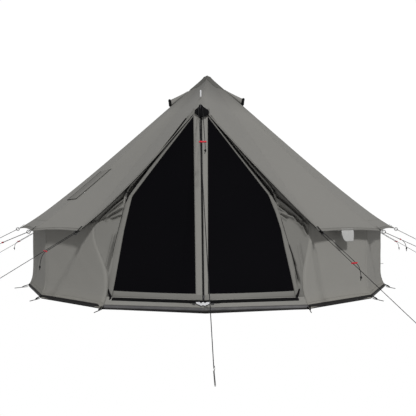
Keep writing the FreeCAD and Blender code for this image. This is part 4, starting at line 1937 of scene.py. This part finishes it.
    def toggle(self, cut: DoorCut) -> Piece:
        """Loop and toggle that hold the rolled door.

        Args:
            cut: Cut lines of this half.

        Returns:
            The loop with its bar.
        """
        x, z = cut.toggle
        sign = cut.side.value
        centre = self.plane(cut.side, x + sign * 0.016, z + 0.014, 0.014)
        ends = [self.plane(cut.side, x - sign * 0.014, z - 0.006, 0.004),
                self.plane(cut.side, x + sign * 0.004, z + 0.006, 0.030),
                self.plane(cut.side, x + sign * 0.022, z + 0.018, 0.028),
                self.plane(cut.side, x + sign * 0.034, z + 0.026, 0.002)]
        loop = tube("loop", Line(tuple(ends)).sampled(16), 0.0026, self.finishes["web"])
        bar = [centre + Vector((sign * -0.004, -0.022, 0.016)),
               centre + Vector((sign * 0.008, -0.024, -0.020))]
        peg = tube("bar", [bar[0].lerp(bar[1], i / 6) for i in range(7)],
                   lambda share: 0.0030 + 0.0016 * arch(share), self.finishes["plastic"], sides=10)
        return join(f"toggle_{cut.side.word}", [loop, peg])

    def end_tape(self, cut: DoorCut) -> Piece:
        """Bunched webbing at the outer end of the foot zip.

        Args:
            cut: Cut lines of this half.

        Returns:
            The new object.
        """
        sign = cut.side.value
        x = cut.read(cut.net_edge, 0.1) + sign * 0.004
        blob = self.plane(cut.side, x, 0.094, 0.016)
        up = [blob, self.plane(cut.side, x + sign * 0.018, 0.130, 0.016),
              self.plane(cut.side, x + sign * 0.032, 0.168, 0.008)]
        down = [blob, self.plane(cut.side, x + sign * 0.012, 0.078, 0.016),
                self.plane(cut.side, x + sign * 0.018, 0.058, 0.010)]
        pieces = [tube("tape", Line(tuple(line)).sampled(10),
                       lambda share: 0.0165 - 0.009 * share, self.finishes["web"], flat=0.6)
                  for line in (up, down)]
        pieces.append(slab("stop", blob, UP, SIDEWAYS, (0.022, 0.030, 0.012),
                           self.finishes["plastic"], 0.003))
        return join(f"zip_end_{cut.side.word}", pieces)

    def along_foot(self, u: float, z: float, out: float) -> Vector:
        """Point along the whole foot of the doorway, 0 at its left corner and 1 at its right.

        Args:
            u: Share along the foot.
            z: Height in metres.
            out: Distance outwards.

        Returns:
            The point.
        """
        side = Side.LEFT if u < 0.5 else Side.RIGHT
        share = abs(2 * u - 1)
        corner = 1 if side is Side.RIGHT else self.shape.sides - 1
        middle = self.plane(side, self.shape.front_foot[0], z)
        point = middle.lerp(self.shape.wall_corner(corner, z), share)
        normal = self.plane(side, 0.0, z, 1.0) - self.plane(side, 0.0, z)
        return point + normal * out

    def foot_strip(self, name: str, low: float, high: float, lift: float, material: str,
                   ripple: float = 0.0, first: float = 0.0, last: float = 1.0) -> Piece:
        """Strip along the foot of the doorway between two heights.

        Args:
            name: Name of the object.
            low: Lower end, in metres.
            high: Upper end, in metres.
            lift: Height above the cloth.
            material: Name of its finish.
            ripple: Height of its waves.
            first: Share of the foot where it begins.
            last: Share where it ends.

        Returns:
            The new object.
        """
        def place(u: float, v: float) -> Vector:
            """Point of the strip."""
            u = first + (last - first) * u
            z = low + (high - low) * v
            wave = ripple * uneven(u * 26, z * 30, 7.0)
            return self.along_foot(u, z, lift * (1 - abs(2 * v - 1) ** 5) + 0.001 + wave)

        return grid(name, 8, 160, place, (self.foot_width, high - low), self.finishes[material])

    def threshold(self) -> Piece:
        """Layers under the doors: zip tape, canvas band, vinyl and the sheet's edge.

        Returns:
            The new object.
        """
        layers = [self.foot_strip("zip_tape", 0.073, 0.100, 0.0090, "web", 0.0004, 0.035, 0.965),
                  self.foot_strip("band", 0.037, 0.105, 0.001, "trim", 0.0012),
                  self.foot_strip("vinyl", 0.013, 0.040, 0.007, "vinyl", 0.0025),
                  self.foot_strip("edge", 0.002, 0.017, 0.010, "sheet", 0.001)]
        return join("threshold_layers", [thicken(layer, 0.0015) for layer in layers])

    def foot_teeth(self) -> Piece:
        """Teeth of the zip along the foot."""
        points = [self.along_foot(0.06 + 0.90 * i / 160, 0.088, 0.0085) for i in range(161)]
        return self.repeats.along("foot_teeth", points, (0.0022, 0.0045, 0.0022), 0.0055,
                                  self.finishes["plastic"])

    def crescent(self) -> Piece:
        """Pale reinforcing patch, tabs and pull loop at the middle of the foot.

        Returns:
            The new object.
        """
        middle = self.shape.front_foot[0]

        def place(u: float, v: float) -> Vector:
            """Point of the patch, straight on top and round below."""
            x = (u - 0.5) * 0.118
            deep = 0.024 * math.sqrt(max(0.0, 1 - (2 * u - 1) ** 2)) + 0.002
            notch = 0.010 * max(0.0, 1 - abs(abs(x) - 0.014) / 0.010)
            top = 0.086 - notch
            return self.along_foot(0.5 + x / self.foot_width, top - (deep - notch * 0.4) * (1 - v), 0.0105)

        patch = thicken(grid("patch", 8, 40, place, (0.118, 0.03), self.finishes["silver"]), 0.0015)
        cord = tube("cord", [place(i / 30, 0.0) - UP * 0.001 for i in range(31)], 0.0018,
                    self.finishes["web"], sides=6)
        tabs = []
        for start, end in ((-0.104, -0.066), (0.062, 0.136)):
            points = [self.along_foot(0.5 + (start + (end - start) * i / 8) / self.foot_width, 0.081, 0.011)
                      for i in range(9)]
            tabs.append(tube("tab", points, 0.0085, self.finishes["web"], sides=10, flat=0.35))
        loop = ring("loop", self.along_foot(0.5 + (0.004 - middle) / self.foot_width, 0.036, 0.012),
                    Vector((0.0, 1.0, 0.0)), 0.017, 0.0024, self.finishes["seam"])
        return join("foot_patch", [patch, cord, *tabs, loop])

    def pocket(self) -> Piece:
        """Dark pocket at the top of the doorway that covers the frame's joint.

        Returns:
            The new object.
        """
        apex = Vector(self.shape.apex)

        def place(u: float, v: float) -> Vector:
            """Point of the gathered pocket, fuller to one side at its foot."""
            z = apex.z - 0.003 - 0.100 * (1 - v)
            half = 0.060 - 0.046 * ease(0.5, 1.0, v) - 0.030 * (1 - ease(0.0, 0.35, v))
            x = apex.x + 0.003 + 0.018 * (1 - v) + (u - 0.5) * 2 * half
            crease = 0.004 * math.cos(u * 5 * math.pi + 3 * v)
            front = self.plane(Side.LEFT if x < apex.x else Side.RIGHT, apex.x, z).y
            return Vector((x, front - 0.012 - 0.014 * arch(u) - crease * arch(v),
                           z + 0.004 * math.sin(u * 9)))

        return thicken(grid("apex_pocket", 16, 26, place, (0.12, 0.1), self.finishes["web"]), 0.002)

    def build_side(self, cut: DoorCut) -> None:
        """Make one half of the doorway.

        Args:
            cut: Cut lines of this half.
        """
        word = cut.side.word
        canvas = self.surround(cut)
        area = area_of(canvas)
        canvas = thicken(canvas, 0.0015)
        edge = self.ribbon("edge", cut, *self.ordered(cut, cut.net_edge, cut.strip_edge), self.door_low,
                           self.top, 0.006, "front")
        piping = self.piping(cut)
        strip = join(f"door_strip_{word}", [thicken(edge, 0.002), piping])
        net = self.net(cut)
        net_area = area_of(net)
        inner = self.ribbon("inner", cut, *self.ordered(cut, cut.inner, cut.zip_side), self.door_low,
                            self.top, 0.004, "trim")
        leaf = join(f"door_leaf_{word}", [thicken(inner, 0.002), thicken(self.foot_band(cut), 0.002),
                                          *self.zip_half(cut)])
        net = thicken(net, 0.0008)
        roll = self.roll(cut)
        roll_area = area_of(roll)
        roll = thicken(roll, 0.0008)
        toggle, tape = self.toggle(cut), self.end_tape(cut)
        for piece, slot in ((canvas, "roof"), (strip, "roof"), (roll, "roof"), (toggle, "black_plastic"),
                            (tape, "black_plastic")):
            place_on(piece, slot)
        start, end = self.hinge(cut)
        for piece, slot in ((net, "mesh"), (leaf, "roof")):
            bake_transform(piece)
            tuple(start)
            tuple(end)
        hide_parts(f"door_surround_{word}")
        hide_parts(f"mesh_door_{word}")
        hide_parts(f"canvas_door_{word}")
        LOG.info("door %s: canvas %.2f, net %.2f, roll %.2f square metres", word, area, net_area, roll_area)

    def piping(self, cut: DoorCut) -> Piece:
        """Dark cord along the outer edge of the door strip: partly a real sewn cord, partly painted shade
        for the dark gutter beside the strip.

        Args:
            cut: Cut lines of this half.

        Returns:
            The new object.
        """
        heights = [0.12 + 1.49 * i / 120 for i in range(121)]
        points = [self.plane(cut.side, cut.read(cut.strip_edge, z) + cut.side.value * 0.004, z, 0.004)
                  for z in heights]
        # Thicker higher up: painted shade for the gutter between the strip and the roof's edge.
        return tube("piping", points, lambda share: 0.0022 + 0.0040 * ease(0.50, 0.60, share),
                    self.finishes["web"])

    @staticmethod
    def ordered(cut: DoorCut, first: CutLine,
                last: CutLine) -> tuple[CutLine, ...]:
        """Two cut lines with the one of smaller X first, so that faces look outwards."""
        return (first, last) if cut.read(first, 0.9) < cut.read(last, 0.9) else (last, first)

    def hinge(self, cut: DoorCut) -> tuple[Vector, Vector]:
        """Points either side of the line that the net door folds about.

        Args:
            cut: Cut lines of this half.

        Returns:
            A point before the fold line and one past it.
        """
        low = self.plane(cut.side, cut.foot_corner, 0.098)
        foot, apex = Vector(self.shape.front_foot), Vector(self.shape.apex)
        centre = foot.x + (apex.x - foot.x) * (1.657 - foot.z) / (apex.z - foot.z)
        high = self.plane(cut.side, centre + cut.side.value * 0.024, 1.657)
        line = (high - low).normalized()
        middle = low.lerp(high, 0.5)
        inwards = Vector((-cut.side.value, 0.0, 0.0))
        inwards = (inwards - line * inwards.dot(line)).normalized()
        normal = self.plane(cut.side, 0.0, 1.0, 1.0) - self.plane(cut.side, 0.0, 1.0)
        inwards = (inwards - normal * inwards.dot(normal)).normalized()
        return middle - inwards * 0.004, middle + inwards * self.knee_span

    def build(self) -> None:
        """Make the whole doorway."""
        for cut in self.cuts:
            self.build_side(cut)
        threshold = self.threshold()
        teeth, patch, pocket = self.foot_teeth(), self.crescent(), self.pocket()
        for piece, slot in ((threshold, "groundsheet"), (teeth, "zip_metal"), (patch, "black_plastic"),
                            (pocket, "black_plastic")):
            place_on(piece, slot)
        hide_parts("door_threshold")


# ---------------- stage
@dataclass
class Studio:
    """Camera, lights and the white floor."""

    place: tuple[float, float, float] = (0.045, -6.300, 0.820)
    focal: float = 46.3
    shift: tuple[float, float] = (-0.0072, 0.0096)
    sun_turn: float = 12.0
    sun_height: float = 34.0

    def camera(self) -> None:
        """Level camera in front of the door."""
        lens = bpy.data.cameras.new("camera")
        lens.lens = self.focal
        lens.sensor_width = 36.0
        lens.shift_x, lens.shift_y = self.shift
        camera = bpy.data.objects.new("camera", lens)
        camera.location = self.place
        camera.rotation_euler = (math.radians(90.0), 0.0, 0.0)
        bpy.context.scene.collection.objects.link(camera)
        bpy.context.scene.camera = camera

    def sun(self) -> None:
        """Broad soft key light from the front."""
        light = bpy.data.lights.new("key", "SUN")
        light.energy = 3.6
        light.angle = math.radians(6.0)
        lamp = bpy.data.objects.new("key", light)
        turn, rise = math.radians(self.sun_turn), math.radians(self.sun_height)
        aim = Vector((math.sin(turn) * math.cos(rise), -math.cos(turn) * math.cos(rise), math.sin(rise)))
        lamp.rotation_euler = aim.to_track_quat("Z", "Y").to_euler()
        bpy.context.scene.collection.objects.link(lamp)

    def world(self) -> None:
        """White for the camera, and a dimmer even light on the tent."""
        world = bpy.data.worlds.new("studio")
        bpy.context.scene.world = world
        world.use_nodes = True
        tree = world.node_tree
        wire = Wiring(tree)
        background = tree.nodes["Background"]
        path = tree.nodes.new("ShaderNodeLightPath")
        strength = wire.math("ADD", wire.math("MULTIPLY", path.outputs["Is Camera Ray"], 0.62), 0.40)
        wire.link(strength, background.inputs["Strength"])
        background.inputs["Color"].default_value = (1.0, 1.0, 1.0, 1.0)

    def floor(self) -> None:
        """White floor that keeps only the faintest shadow."""
        thing = grid("studio_floor", 1, 1, lambda u, v: Vector(((u - 0.5) * 60, (v - 0.5) * 60, -0.001)),
                     (1, 1), None)
        paint = bpy.data.materials.new("studio_white")
        paint.use_nodes = True
        tree = paint.node_tree
        wire = Wiring(tree)
        shader = tree.nodes["Principled BSDF"]
        shader.inputs["Base Color"].default_value = (0.9, 0.9, 0.9, 1.0)
        shader.inputs["Roughness"].default_value = 1.0
        glow = tree.nodes.new("ShaderNodeEmission")
        path = tree.nodes.new("ShaderNodeLightPath")
        mix = tree.nodes.new("ShaderNodeMixShader")
        wire.link(path.outputs["Is Camera Ray"], mix.inputs[0])
        wire.link(shader.outputs[0], mix.inputs[1])
        wire.link(glow.outputs[0], mix.inputs[2])
        wire.link(mix.outputs[0], tree.nodes["Material Output"].inputs["Surface"])
        thing.data.materials.append(paint)

    def build(self) -> None:
        """Set the stage and the plain view transform."""
        bpy.context.scene.view_settings.view_transform = "Standard"
        self.camera()
        self.sun()
        self.world()
        self.floor()


def dress_frame(finishes: Palette) -> None:
    """Give every hard part of the frame its material.

    Args:
        finishes: Materials by finish.
    """
    rules = (("centre_pole_foot", "rubber"), ("centre_pole", "steel"), ("door_pole_joiner", "plastic"),
             ("door_pole", "dark_steel"), ("tensioner_", "red"), ("guy_rings", "dark_steel"),
             ("guy_pegs", "steel"), ("base_pegs", "dark_steel"), ("zip_slider", "dark_steel"),
             ("groundsheet", "sheet"), ("mesh_door", "net"), ("canvas_door", "trim"),
             ("door_surround", "trim"), ("door_threshold", "vinyl"))
    for thing in bpy.context.scene.objects:
        if thing.type != "MESH" or thing.name.startswith("studio"):
            continue
        for start, finish in rules:
            if thing.name.startswith(start):
                thing.data.materials.clear()
                thing.data.materials.append(finishes[finish])
                break


def main() -> None:
    """Build the tent and its stage."""
    logging.basicConfig(level=logging.INFO, format="%(name)s %(message)s")
    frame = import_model()
    LOG.info("frame: %s", frame)
    groups = Groups()
    finishes = {name: finish.make(groups) for name, finish in FINISHES.items()}
    shape = TentShape()
    repeats = Repeats()
    dress_frame(finishes)
    GuyLines(shape, finishes).build()
    Roof(shape, finishes, repeats).build()
    Walls(shape, finishes, repeats).build()
    Doorway(shape, finishes, repeats).build()
    Studio().build()


if __name__ == "__main__":
    main()
